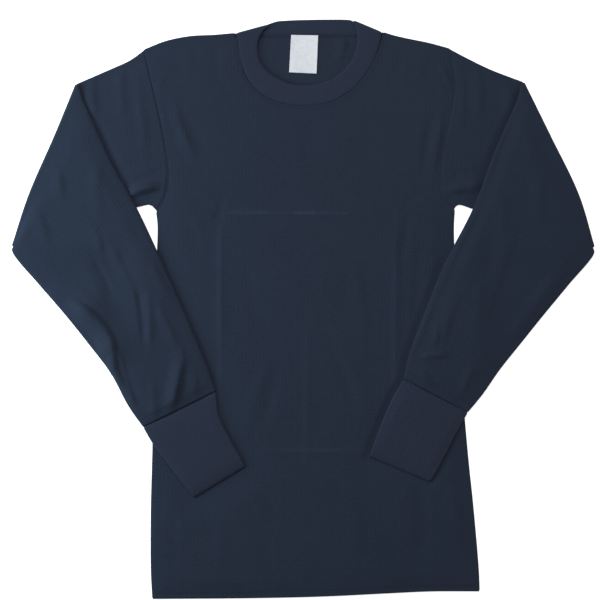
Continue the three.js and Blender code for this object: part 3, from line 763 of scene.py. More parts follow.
def sleeve_form(side, puff):
    """Stations of a sleeve: armhole to fold, round the fold, and back over the front."""
    sleeve = SLEEVES[side]
    outward = SIGN[side]
    half = TUBE / 2
    turn = half + FOLD_RADIUS
    n = SLEEVE_ACROSS
    share = np.linspace(0, 1, n + 1)[:, None]
    up = np.array([0, 0, 1.0])
    edge = line(sleeve["fold"], "x", "y", n)
    axis = shifted(edge, outward * (turn + half))
    sideways = shifted(edge, -outward) - edge
    armhole = even(EDGES[side]["armhole"][::-1], n)
    top = line(sleeve["top"], "x", "y", UPPER_STEPS)
    low = line(sleeve["low"], "x", "y", UPPER_STEPS)
    top[0], low[0], top[-1], low[-1] = armhole[0], armhole[-1], axis[0], axis[-1]
    flat = patch(armhole, axis, top, low, 1, 0)

    def swollen(points, run, roll):
        width = np.linalg.norm(points[:, -1] - points[:, 0], axis=-1)[:, None]
        away = np.minimum(share[:, 0], 1 - share[:, 0])[None] * width
        return (roll * smooth(-4, 7, away) + puff * smooth(0, 28, away) * run
                + 0.45 * swell(points) * smooth(4, 26, away))

    seam_share = smooth(0, 0.12, np.linspace(0, 1, UPPER_STEPS + 1))[:, None]
    cover = outside(sleeve_outline(side, ("folded",)), flat)
    upper_lift = (swollen(flat, 0.72, 0) * pressed_share(flat)
                  + folds_at(UPPER_FOLDS, flat) * seam_share * smooth(-1, 4, cover))
    parts = [(np.dstack([flat, np.full(flat.shape[:2], half)]),
              np.broadcast_to(up, (*flat.shape[:2], 3)), upper_lift, 1)]
    angles = np.linspace(0, np.pi, BEND_STEPS + 1)[1:-1]
    side3 = np.column_stack([sideways, np.zeros(n + 1)])
    axis3 = np.column_stack([axis, np.full(n + 1, half + turn)])
    bend = np.stack([axis3 + side3 * np.sin(a) * turn - up * np.cos(a) * turn for a in angles])
    bend_face = np.stack([-side3 * np.sin(a) + up * np.cos(a) for a in angles])
    parts.append((bend, bend_face, np.zeros(bend.shape[:2]), 1))

    a, b = sections(sleeve["folded"], SECTION, FOLDED_STEPS)
    over = a[:, None] + (b - a)[:, None] * share
    place = np.linspace(0, 1, FOLDED_STEPS + 1)
    near = (1 - smooth(0, 0.045, place))[:, None, None]
    over = over + near * (axis - over[0])
    settle = smooth(0, SETTLE, np.linalg.norm(over - axis, axis=-1))
    base = rest_height(side, over)
    height = half + base + (1 - settle) * (TUBE + 2 * FOLD_RADIUS - FOLDED_Z)
    raised = smooth(0.01, 0.12, place)[:, None]
    over_lift = swollen(over, 1, ROLL[side]) * smooth(0, 0.1, place)[:, None] + folds_at(
        OVER_FOLDS, over) * raised
    end = smooth(0, 0.045, 1 - place)[:, None]
    over_lift = over_lift * (0.35 + 0.65 * end)
    parts.append((np.dstack([over, height]), np.broadcast_to(-up, (*over.shape[:2], 3)),
                  over_lift, -1))
    points = np.concatenate([part[0] for part in parts])
    width = np.linalg.norm(points[:, -1] - points[:, 0], axis=-1)
    lean = np.concatenate([smooth(0, 0.2, 1 - np.linspace(0, 1, UPPER_STEPS + 1)),
                           np.zeros(len(bend)), smooth(0, 0.08, place)])
    return {
        "lean": lean * LEAN[side],
        "draw": drawn(len(points), 3, 3, SEAM_DRAW),
        "relief": np.zeros(n + 1),
        "points": points,
        "face": np.concatenate([part[1] for part in parts]),
        "lifts": np.clip(np.concatenate([part[2] for part in parts]), 0, None),
        "upper": np.concatenate([np.full(len(part[0]), part[3]) for part in parts]),
        "across": (share[:, 0] - 0.5)[None] * width[:, None],
        "along": travel(points.mean(axis=1)),
    }


CUFF_STEPS = 34
CUFF_TUCK = 0.7        # how far the cuff reaches into the end of the sleeve
CUFF_END = 0.28         # share of its thickness that the cuff keeps at its open end
RIB_POINTS = 6         # mesh points to a rib


def cuff_form(side, pitch, relief, puff):
    """Stations of a cuff, ribs running along it."""
    a, b = sections(SLEEVES[side]["cuff"], SECTION, CUFF_STEPS)
    start = -unit(a[1] + b[1] - a[0] - b[0]) * CUFF_TUCK
    a[0] += start
    b[0] += start
    width = np.linalg.norm(b - a, axis=-1)
    ribs = int(round(width.mean() / pitch))
    count = ribs * RIB_POINTS + 1
    share = np.linspace(0, 1, count)
    flat = a[:, None] + (b - a)[:, None] * share[:, None]
    draw = np.minimum(drawn(CUFF_STEPS + 1, 2, 1, SEAM_DRAW),
                      drawn(CUFF_STEPS + 1, 1, 4, CUFF_END))
    place = np.linspace(0, 1, CUFF_STEPS + 1)[:, None]
    sunk = TUBE / 2 * (1 - draw[:, None]) * (place > 0.5)
    height = TUBE / 2 - sunk + rest_height(side, flat)
    away = np.minimum(share, 1 - share)[None] * width[:, None]
    lifts = np.clip((puff * smooth(-4, 12, away) + 0.3 * swell(flat) * smooth(2, 16, away))
                    * (0.4 + 0.6 * smooth(0, 0.2, place)) * smooth(0, 0.3, 1 - place), 0, None)
    proud = relief * 0.5 * (1 - np.cos(2 * np.pi * share * ribs))
    return {
        "points": np.dstack([flat, height]),
        "face": np.broadcast_to(np.array([0, 0, -1.0]), (*flat.shape[:2], 3)),
        "lifts": lifts,
        "upper": np.full(len(flat), -1),
        "lean": np.full(len(flat), LEAN[side]),
        "draw": draw,
        "relief": proud,
        "across": (share - 0.5)[None] * width[:, None],
        "along": travel((a + b) / 2),
    }


COLLAR_ACROSS = 12
COLLAR_TURN_STEPS = 16
COLLAR_LIFT = 0.7      # share of the front's loft that the collar rises with it


def turn_outward(a, b):
    """The way out of the garment, square to the section that the collar turns under at."""
    along = unit(b - a)
    square = np.array([-along[1], along[0]])
    return square if square[1] > 0 else -square


def collar_form(pitch, relief, lift):
    """Rings of the collar: over the front, under at the right, round the back and up again."""
    names = "seam_x seam_y free_x free_y"
    half = RIB / 2
    turn = half + FOLD_RADIUS
    front_z = CLOTH + GAP + half + lift
    end_z = half + 2 * turn
    step = pitch / RIB_POINTS
    runs = []
    for rows in (COLLAR_FRONT, COLLAR_BACK):
        middle = through((columns(rows, "seam_x", "seam_y") + columns(rows, "free_x", "free_y")) / 2)
        runs.append(sections(rows, names, int(travel(middle)[-1] / step)))
    for a, b in runs:
        for end, way in ((0, 1), (-1, -1)):
            inward = -turn_outward(a[end], b[end]) * (RIB + FOLD_RADIUS)
            fade = (1 - smooth(0, 7, np.arange(len(a)) * step))[::way, None]
            a += inward * fade
            b += inward * fade
    (fa, fb), (ba, bb) = runs
    up = np.array([0, 0, 1.0])

    def lifted(points, heights):
        return np.column_stack([points, heights])

    place = np.arange(len(fa)) * step
    from_end = np.minimum(place, place[-1] - place)
    front_z = mix(end_z, front_z, smooth(0, 62, from_end))
    starts, ends, faces = [lifted(fa, front_z)], [lifted(fb, front_z)], [np.tile(up, (len(fa), 1))]

    def turned(a, b, angles):
        out = np.append(turn_outward(a, b), 0)
        move = np.stack([np.sin(angles) * turn, half + turn + np.cos(angles) * turn], -1)
        path = move[:, :1] * out + move[:, 1:] * up
        face = np.sin(angles)[:, None] * out + np.cos(angles)[:, None] * up
        return np.append(a, 0) + path, np.append(b, 0) + path, face

    angles = np.linspace(0, np.pi, COLLAR_TURN_STEPS + 1)[1:-1]
    for part, bucket in zip(turned(fa[-1], fb[-1], angles), (starts, ends, faces)):
        bucket.append(part)
    back_z = np.full(len(ba), half + relief)
    for part, bucket in zip((lifted(ba, back_z), lifted(bb, back_z), np.tile(-up, (len(ba), 1))),
                            (starts, ends, faces)):
        bucket.append(part)
    for part, bucket in zip(turned(fa[0], fb[0], angles[::-1]), (starts, ends, faces)):
        bucket.append(part)
    a, b, face = (np.vstack(bucket) for bucket in (starts, ends, faces))
    rib = relief * 0.5 * (1 - np.cos(2 * np.pi * np.arange(len(a)) / RIB_POINTS))
    run = unit(b - a)
    width = np.linalg.norm(b - a, axis=1)
    share = np.linspace(0, 1, COLLAR_ACROSS + 1)
    inset = half * 0.8
    rings = []
    for sign, order in ((1, share), (-1, share[::-1])):
        away = np.minimum(order, 1 - order)[None] * width[:, None]
        crown = 0.75 + 0.25 * smooth(0, 5, away)
        centre = (a + run * inset)[:, None] + (
            run * (width - 2 * inset)[:, None])[:, None] * order[:, None]
        reach = half * crown + rib[:, None] * smooth(0, 3, away)
        rings.append(centre + face[:, None] * sign * reach[..., None])
        end = 1 if sign > 0 else -1
        tip = (b if sign > 0 else a) - end * run * inset
        for angle in np.linspace(0, np.pi, TIP_STEPS + 1)[1:-1]:
            rings.append((tip + end * run * inset * np.sin(angle)
                          + face * sign * np.cos(angle) * half * 0.75)[:, None])
    rings = np.concatenate(rings, axis=1)
    return rings, a, b, face


def threads(paths, pitch, length, width):
    """Short sewn threads along paths, each a low rounded capsule."""
    stations = np.array([0, 0.12, 0.35, 0.65, 0.88, 1])
    size = np.array([0.15, 0.7, 1, 1, 0.7, 0.15])
    turns = np.linspace(0, 2 * np.pi, 7)[:-1]
    local = np.array([[s, np.cos(t) * r, np.sin(t) * r * 0.7 + 0.15 * r]
                      for s, r in zip(stations, size) for t in turns])
    ids = np.arange(len(local)).reshape(len(stations), -1)
    caps = [list(ids[0][::-1]), list(ids[-1])]
    pattern = [*map(list, grid_faces(ids, True)), *caps]
    points, faces, cloth = [], [], []
    count = 0
    for path in paths:
        along = travel(path)
        places = np.arange(pitch / 2, along[-1] - length, pitch)
        a, b = pick(path, along, places), pick(path, along, places + length)
        run = unit(b - a)
        side = unit(np.cross(run, [0, 0, 1.0]))
        up = np.cross(side, run)
        for i in range(len(a)):
            made = (a[i] + local[:, :1] * (b[i] - a[i]) + local[:, 1:2] * side[i] * width / 2
                    + local[:, 2:] * up[i] * width / 2)
            points.append(made)
            cloth.append(np.column_stack([local[:, 0] * length, local[:, 1] * width, local[:, 2]]))
            faces += [[v + count for v in face] for face in pattern]
            count += len(local)
    return np.vstack(points), faces, np.vstack(cloth)


def ridge(cords, pitch):
    """Overlocked seam ridges: low cords along paths, swelling at each loop of thread."""
    turns = np.linspace(0, 2 * np.pi, 9)[:-1]
    points, faces, cloth = [], [], []
    count = 0
    for path, radius in cords:
        total = travel(path)[-1]
        path = even(path, int(total / 0.8))
        run = unit(np.gradient(path, axis=0))
        side = unit(np.cross(run, [0, 0, 1.0]))
        up = np.cross(side, run)
        along = travel(path)
        size = radius * (0.88 + 0.12 * np.cos(2 * np.pi * along / pitch))
        taper = smooth(0, 2.5, np.minimum(along, total - along)) * 0.9 + 0.1
        ring = (path[:, None] + (size * taper)[:, None, None] * (
            np.cos(turns)[None, :, None] * side[:, None]
            + np.sin(turns)[None, :, None] * up[:, None] * 0.7))
        ids = count + np.arange(ring.shape[0] * 8).reshape(-1, 8)
        faces += [*map(list, grid_faces(ids, True)), list(ids[0][::-1]), list(ids[-1])]
        points.append(ring.reshape(-1, 3))
        cloth.append(np.stack([np.repeat(along, 8), np.tile(turns, len(path)),
                               np.zeros(ids.size)], -1))
        count += ids.size
    return np.vstack(points), faces, np.vstack(cloth)


# Materials

def group(name, inputs, outputs):
    """An empty shader node group with named sockets, made once."""
    tree = bpy.data.node_groups.new(name, "ShaderNodeTree")
    for socket, kind, value in inputs:
        made = tree.interface.new_socket(name=socket, in_out="INPUT", socket_type=kind)
        if value is not None:
            made.default_value = value
    for socket, kind in outputs:
        tree.interface.new_socket(name=socket, in_out="OUTPUT", socket_type=kind)
    return tree, tree.nodes.new("NodeGroupInput"), tree.nodes.new("NodeGroupOutput")


class Wiring:
    """Short calls for adding nodes to a tree."""

    def __init__(self, tree):
        self.tree = tree

    def node(self, kind, **values):
        made = self.tree.nodes.new(kind)
        for name, value in values.items():
            setattr(made, name, value)
        return made

    def link(self, source, target):
        self.tree.links.new(source, target)

    def feed(self, socket, value):
        if isinstance(value, bpy.types.NodeSocket):
            self.link(value, socket)
        else:
            socket.default_value = value

    def math(self, operation, *values):
        made = self.node("ShaderNodeMath", operation=operation)
        for socket, value in zip(made.inputs, values):
            self.feed(socket, value)
        return made.outputs[0]

    def vector(self, operation, *values):
        made = self.node("ShaderNodeVectorMath", operation=operation)
        for socket, value in zip(made.inputs, values):
            self.feed(socket, value)
        return made.outputs["Value" if operation in ("DOT_PRODUCT", "DISTANCE") else "Vector"]

    def noise(self, vector, scale, detail=3.0, roughness=0.5):
        made = self.node("ShaderNodeTexNoise")
        self.feed(made.inputs["Vector"], vector)
        self.feed(made.inputs["Scale"], scale)
        made.inputs["Detail"].default_value = detail
        made.inputs["Roughness"].default_value = roughness
        return made

    def remap(self, value, low, high, to_low, to_high):
        made = self.node("ShaderNodeMapRange", interpolation_type="SMOOTHSTEP")
        for name, number in (("Value", value), ("From Min", low), ("From Max", high),
                             ("To Min", to_low), ("To Max", to_high)):
            self.feed(made.inputs[name], number)
        return made.outputs["Result"]

    def blend(self, factor, a, b, mode="MIX"):
        made = self.node("ShaderNodeMix", data_type="RGBA", blend_type=mode)
        self.feed(made.inputs[0], factor)
        self.feed(made.inputs[6], a)
        self.feed(made.inputs[7], b)
        return made.outputs[2]


def waffle_group():
    """Waffle of the knit: raised lines round sunken square cells, a little uneven."""
    tree, start, end = group("Waffle Relief", [
        ("Cloth", "NodeSocketVector", None), ("Pitch", "NodeSocketFloat", 4.6),
        ("Unevenness", "NodeSocketFloat", 0.5)],
        [("Height", "NodeSocketFloat"), ("Cell", "NodeSocketFloat")])
    wire = Wiring(tree)
    drift = wire.noise(start.outputs["Cloth"], 0.06, 1.0)
    centred = wire.node("ShaderNodeVectorMath", operation="SUBTRACT")
    wire.link(drift.outputs["Color"], centred.inputs[0])
    centred.inputs[1].default_value = (0.5, 0.5, 0.5)
    scaled = wire.node("ShaderNodeVectorMath", operation="SCALE")
    wire.link(centred.outputs[0], scaled.inputs[0])
    wire.link(start.outputs["Unevenness"], scaled.inputs["Scale"])
    moved = wire.node("ShaderNodeVectorMath", operation="ADD")
    wire.link(start.outputs["Cloth"], moved.inputs[0])
    wire.link(scaled.outputs[0], moved.inputs[1])
    axes = wire.node("ShaderNodeSeparateXYZ")
    wire.link(moved.outputs[0], axes.inputs[0])
    ridges = []
    for axis in ("X", "Y"):
        turns = wire.math("DIVIDE", axes.outputs[axis], start.outputs["Pitch"])
        away = wire.math("PINGPONG", turns, 0.5)
        ridges.append(wire.remap(away, 0.06, 0.32, 1.0, 0.0))
    top = wire.math("MAXIMUM", *ridges)
    both = wire.math("MULTIPLY", *ridges)
    height = wire.math("MULTIPLY_ADD", both, 0.25, top)
    wire.link(height, end.inputs["Height"])
    wire.link(wire.math("SUBTRACT", 1.0, top), end.inputs["Cell"])
    return tree


def rib_group():
    """Fine ribs across or along a band."""
    tree, start, end = group("Rib Relief", [
        ("Cloth", "NodeSocketVector", None), ("Pitch", "NodeSocketFloat", 1.2)],
        [("Height", "NodeSocketFloat")])
    wire = Wiring(tree)
    axes = wire.node("ShaderNodeSeparateXYZ")
    wire.link(start.outputs["Cloth"], axes.inputs[0])
    turns = wire.math("DIVIDE", axes.outputs["X"], start.outputs["Pitch"])
    away = wire.math("PINGPONG", turns, 0.5)
    ribs = wire.remap(away, 0.05, 0.4, 1.0, 0.0)
    stitch = wire.math("DIVIDE", axes.outputs["Y"], start.outputs["Pitch"])
    loops = wire.remap(wire.math("PINGPONG", stitch, 0.5), 0.1, 0.5, 0.0, 0.35)
    wire.link(wire.math("ADD", ribs, loops), end.inputs["Height"])
    return tree


def fibre_group():
    """Cotton fibres: fine nap, small yarn mottle and slow wash marks."""
    tree, start, end = group("Cotton Fibres", [
        ("Cloth", "NodeSocketVector", None), ("Fineness", "NodeSocketFloat", 1.0)],
        [("Nap", "NodeSocketFloat"), ("Mottle", "NodeSocketFloat"), ("Wash", "NodeSocketFloat")])
    wire = Wiring(tree)
    cloth = start.outputs["Cloth"]
    fine = wire.math("MULTIPLY", start.outputs["Fineness"], 2.6)
    medium = wire.math("MULTIPLY", start.outputs["Fineness"], 0.3)
    wire.link(wire.noise(cloth, fine, 4.0, 0.65).outputs["Fac"], end.inputs["Nap"])
    wire.link(wire.noise(cloth, medium, 3.0, 0.6).outputs["Fac"], end.inputs["Mottle"])
    wire.link(wire.noise(cloth, 0.012, 3.0, 0.55).outputs["Fac"], end.inputs["Wash"])
    return tree


def crease_highlight_group():
    """Closeness to a straight crease pressed into the cloth, 1 on it: the mask of a painted highlight
    along the crease.
    """
    tree, start, end = group("Crease Highlight Mask", [
        ("Cloth", "NodeSocketVector", None), ("Start", "NodeSocketVector", None),
        ("Along", "NodeSocketVector", None), ("Length", "NodeSocketFloat", 100.0),
        ("Width", "NodeSocketFloat", 3.0)], [("Closeness", "NodeSocketFloat")])
    wire = Wiring(tree)
    place = wire.vector("SUBTRACT", start.outputs["Cloth"], start.outputs["Start"])
    place = wire.vector("MULTIPLY", place, (1, 1, 0))
    run = wire.vector("DOT_PRODUCT", place, start.outputs["Along"])
    run = wire.math("MINIMUM", wire.math("MAXIMUM", run, 0.0), start.outputs["Length"])
    foot = wire.node("ShaderNodeVectorMath", operation="SCALE")
    wire.link(start.outputs["Along"], foot.inputs[0])
    wire.link(run, foot.inputs["Scale"])
    away = wire.vector("DISTANCE", place, foot.outputs[0])
    wire.link(wire.remap(away, 0.0, start.outputs["Width"], 1.0, 0.0), end.inputs["Closeness"])
    return tree


def cloth_material(name, colour, sheen, roughness, groups, relief, pitch, depth, lines=None):
    """A matte cotton: relief of its knit with painted highlight on its crests and painted shade in
    its hollows, nap, mottle, wash marks, painted highlights along pressed creases, soft sheen.
    """
    material = bpy.data.materials.new(name)
    material.use_nodes = True
    wire = Wiring(material.node_tree)
    shader = material.node_tree.nodes["Principled BSDF"]
    cloth = wire.node("ShaderNodeAttribute", attribute_name="cloth").outputs["Vector"]
    fibres = wire.node("ShaderNodeGroup", node_tree=groups["fibres"])
    wire.link(cloth, fibres.inputs["Cloth"])
    knit = wire.node("ShaderNodeGroup", node_tree=groups[relief])
    wire.link(cloth, knit.inputs["Cloth"])
    knit.inputs["Pitch"].default_value = pitch
    # The relief's crests are painted lighter and its hollows darker: painted highlight and painted
    # shade. The lighter colour also gives the faded wash marks, which are the cloth's own.
    painted_crest_highlight_and_fade_colour = tuple(min(1, c * 1.07) for c in colour)
    painted_hollow_shade_colour = tuple(c * 0.92 for c in colour)
    painted_relief_shading = wire.remap(knit.outputs["Height"], 0.0, 1.1, 0.2, 0.8)
    painted_relief_shade = wire.blend(painted_relief_shading, (*painted_hollow_shade_colour, 1), (*painted_crest_highlight_and_fade_colour, 1))
    mottled = wire.blend(wire.remap(fibres.outputs["Mottle"], 0.35, 0.65, 0.0, 0.6),
                         painted_relief_shade, tuple(0.84 * c for c in colour) + (1,))
    washed = wire.blend(wire.remap(fibres.outputs["Wash"], 0.35, 0.7, 0.0, 0.3),
                        mottled, (*painted_crest_highlight_and_fade_colour, 1))
    # Painted highlights along the pressed creases: the cloth is lightened towards twice its colour
    # where light would catch their crests.
    for x0, y0, x1, y1, wide, share in () if lines is None else zip(*lines.values()):
        crease = wire.node("ShaderNodeGroup", node_tree=groups["crease"])
        wire.link(cloth, crease.inputs["Cloth"])
        crease.inputs["Start"].default_value = (x0, y0, 0)
        crease.inputs["Along"].default_value = Vector((x1 - x0, y1 - y0, 0)).normalized()
        crease.inputs["Length"].default_value = np.hypot(x1 - x0, y1 - y0)
        crease.inputs["Width"].default_value = wide
        uneven = wire.remap(fibres.outputs["Wash"], 0.3, 0.6, 0.4 * share, share)
        washed = wire.blend(wire.math("MULTIPLY", crease.outputs["Closeness"], uneven),
                            washed, tuple(2 * c for c in colour) + (1,))
    wire.link(washed, shader.inputs["Base Color"])
    rough = wire.remap(fibres.outputs["Nap"], 0.3, 0.7, roughness - 0.06, min(1, roughness + 0.06))
    wire.link(rough, shader.inputs["Roughness"])
    nap = wire.math("MULTIPLY", fibres.outputs["Nap"], 0.35)
    height = wire.math("ADD", knit.outputs["Height"], nap)
    bump = wire.node("ShaderNodeBump")
    bump.inputs["Strength"].default_value = 0.8
    bump.inputs["Distance"].default_value = depth * MM
    wire.link(height, bump.inputs["Height"])
    wire.link(bump.outputs["Normal"], shader.inputs["Normal"])
    shader.inputs["Specular IOR Level"].default_value = 0.1
    shader.inputs["Sheen Weight"].default_value = sheen
    shader.inputs["Sheen Roughness"].default_value = 0.45
    shader.inputs["Sheen Tint"].default_value = (0.55, 0.66, 0.9, 1)
    return material


def make_materials(colours, sizes):
    groups = {"waffle": waffle_group(), "rib": rib_group(), "fibres": fibre_group(),
              "crease": crease_highlight_group()}
    return {
        "knit": cloth_material("Navy Waffle Knit", colours.knit, 0.05, 0.9, groups, "waffle",
                               sizes.waffle_pitch / MM, 0.11),
        # The front's cloth carries the painted highlights along its pressed creases.
        "front": cloth_material("Waffle Knit With Painted Crease Highlights", colours.knit, 0.05, 0.9, groups, "waffle",
                                sizes.waffle_pitch / MM, 0.13, CREASE_HIGHLIGHT_LINES),
        "rib": cloth_material("Navy Fine Rib", colours.rib, 0.06, 0.88, groups, "rib",
                              0.8, 0.07),
        # The tape is darker than the rib: partly its own navy, partly painted shade below the collar
        # band.
        "tape": cloth_material("Navy Twill Tape With Painted Shade", tuple(0.8 * c for c in colours.rib), 0.05, 0.8,
                               groups, "rib", 0.9, 0.08),
        "label": cloth_material("White Woven Tape", colours.label, 0.05, 0.62, groups, "rib",
                                0.5, 0.05),
        "thread": cloth_material("Navy Sewing Thread", colours.thread, 0.1, 0.7, groups, "rib",
                                 0.45, 0.05),
    }


MATERIALS = {}


# Sizes and colours that a user would change

class ThermalSizes(bpy.types.PropertyGroup):
    waffle_pitch: FloatProperty(
        name="Waffle Pitch", description="Size of one cell of the waffle knit",
        default=0.0046, min=0.002, max=0.01, precision=4, subtype="DISTANCE", unit="LENGTH")
    rib_pitch: FloatProperty(
        name="Rib Pitch", description="Distance between the ribs of the collar and cuffs",
        default=0.0026, min=0.0015, max=0.006, precision=4, subtype="DISTANCE", unit="LENGTH")
    rib_relief: FloatProperty(
        name="Rib Relief", description="How far the ribs stand proud",
        default=0.00016, min=0, max=0.001, precision=5, subtype="DISTANCE", unit="LENGTH")
    front_loft: FloatProperty(
        name="Front Loft", description="How far the front rises over the back between its edges",
        default=0.0017, min=0, max=0.006, precision=4, subtype="DISTANCE", unit="LENGTH")
    sleeve_puff: FloatProperty(
        name="Sleeve Puff", description="How far the upper side of a sleeve rises in its middle",
        default=0.0024, min=0, max=0.006, precision=4, subtype="DISTANCE", unit="LENGTH")
    stitch_pitch: FloatProperty(
        name="Stitch Pitch", description="Distance from one stitch to the next",
        default=0.0029, min=0.0015, max=0.006, precision=4, subtype="DISTANCE", unit="LENGTH")
    thread_width: FloatProperty(
        name="Thread Width", description="Width of the sewing thread",
        default=0.00055, min=0.0002, max=0.0015, precision=5, subtype="DISTANCE", unit="LENGTH")
    rows_of_stitches: IntProperty(
        name="Rows of Stitches", description="Rows of stitches at the hem and round the neck",
        default=2, min=1, max=3)


class ThermalColours(bpy.types.PropertyGroup):
    knit: FloatVectorProperty(
        name="Knit", description="Colour of the waffle knit", subtype="COLOR", size=3,
        default=(0.0205, 0.0279, 0.0475), min=0, max=1)
    rib: FloatVectorProperty(
        name="Rib", description="Colour of the collar and cuffs", subtype="COLOR", size=3,
        default=(0.0242, 0.0302, 0.0525), min=0, max=1)
    label: FloatVectorProperty(
        name="Label", description="Colour of the woven label", subtype="COLOR", size=3,
        default=(0.765, 0.757, 0.795), min=0, max=1)
    thread: FloatVectorProperty(
        name="Thread", description="Colour of the sewing thread", subtype="COLOR", size=3,
        default=(0.0170, 0.0220, 0.0360), min=0, max=1)
    floor: FloatVectorProperty(
        name="Floor", description="Colour of the floor", subtype="COLOR", size=3,
        default=(0.92, 0.92, 0.92), min=0, max=1)


def sizes():
    return bpy.context.scene.thermal_sizes


def materials():
    if not MATERIALS:
        MATERIALS.update(make_materials(bpy.context.scene.thermal_colours, sizes()))
    return MATERIALS


# Operators, one for each piece or group of like pieces

class THERMAL_OT_panels(bpy.types.Operator):
    """Lay the back panel on the floor and the front panel over it"""
    bl_idname = "thermal.panels"
    bl_label = "Body Panels"

    def execute(self, context):
        grid = body_grid("back")
        base = back_height(grid)
        points, faces, cloth = shell(grid, base, base + CLOTH)
        back = piece("top_back", points, faces, cloth, materials()["knit"],
                     ("back_panel",))
        grid = body_grid("front")
        base = front_height(grid, sizes().front_loft / MM)
        points, faces, cloth = shell(grid, base, base + CLOTH)
        front = piece("top_front", points, faces, cloth, materials()["front"],
                      ("front_panel",))
        return {"FINISHED"}


RINGS = {}


class THERMAL_OT_sleeves(bpy.types.Operator):
    """Make both sleeves as tubes folded back over the front"""
    bl_idname = "thermal.sleeves"
    bl_label = "Sleeves"

    def execute(self, context):
        for side in SLEEVES:
            form = sleeve_form(side, sizes().sleeve_puff / MM)
            rings = tube(form)
            RINGS[f"sleeve_{side}"] = rings[0]
            made = tube_piece(f"top_sleeve_{side}", rings, form["across"], form["along"],
                              materials()["knit"], (f"sleeve_{side}",))
        return {"FINISHED"}


class THERMAL_OT_cuffs(bpy.types.Operator):
    """Make both long cuffs as ribbed tubes on the ends of the sleeves"""
    bl_idname = "thermal.cuffs"
    bl_label = "Cuffs"

    def execute(self, context):
        for side in SLEEVES:
            form = cuff_form(side, sizes().rib_pitch / MM, sizes().rib_relief / MM,
                             0.6 * sizes().sleeve_puff / MM)
            rings = tube(form)
            RINGS[f"cuff_{side}"] = rings[0]
            made = tube_piece(f"top_cuff_{side}", rings, form["across"], form["along"],
                              materials()["rib"], (f"cuff_{side}",))
        return {"FINISHED"}


class THERMAL_OT_collar(bpy.types.Operator):
    """Make the ribbed neckband as one ring, turned under at both shoulders"""
    bl_idname = "thermal.collar"
    bl_label = "Collar"

    def execute(self, context):
        rings, a, b, _ = collar_form(sizes().rib_pitch / MM, sizes().rib_relief / MM,
                                     COLLAR_LIFT * sizes().front_loft / MM)
        ids = np.arange(rings.shape[0] * rings.shape[1]).reshape(rings.shape[:2])
        loop = np.vstack([ids, ids[:1]])
        along = travel((a + b) / 2)
        across = np.linalg.norm(rings - rings[:, :1], axis=-1)
        cloth = np.stack([np.broadcast_to(along[:, None], across.shape), across, 0 * across], -1)
        made = piece("top_collar", rings.reshape(-1, 3), grid_faces(loop, True),
                     cloth.reshape(-1, 3), materials()["rib"], ("collar",))
        return {"FINISHED"}


class THERMAL_OT_label(bpy.types.Operator):
    """Lay the bare woven label below the back of the collar"""
    bl_idname = "thermal.label"
    bl_label = "Label"

    def execute(self, context):
        low, high = (np.array([[LABEL_ENDS["left_x"][i], LABEL_ENDS["left_y"][i]],
                               [LABEL_ENDS["right_x"][i], LABEL_ENDS["right_y"][i]]])
                     for i in (0, 1))
        u = np.linspace(0, 1, 41)[None, :, None]
        v = np.linspace(0, 1, 57)[:, None, None]
        grid = mix(mix(low[0], low[1], u), mix(high[0], high[1], u), v)
        u, v = u[..., 0], v[..., 0]
        curl = 0.5 * (1 - v) ** 2 * (0.6 + 0.4 * np.cos(2 * np.pi * (u - 0.1)))
        edge = 0.18 * np.exp(-np.minimum(u, 1 - u) * 34 / 1.2)
        rise = FRONT_Z - 0.15 + curl + 0.12 * np.sin(5 * u + 3 * v)
        points, faces, cloth = shell(grid, rise - 0 * edge, rise + LABEL + edge)
        made = piece("top_label", points, faces, cloth, materials()["label"],
                     ("label",))
        return {"FINISHED"}


SEAM_MIDDLE = 1.62     # height of the seams that close the body's edges
TAPE = 5.0             # width of the tape over the back neck seam
TAPE_THICK = 0.4


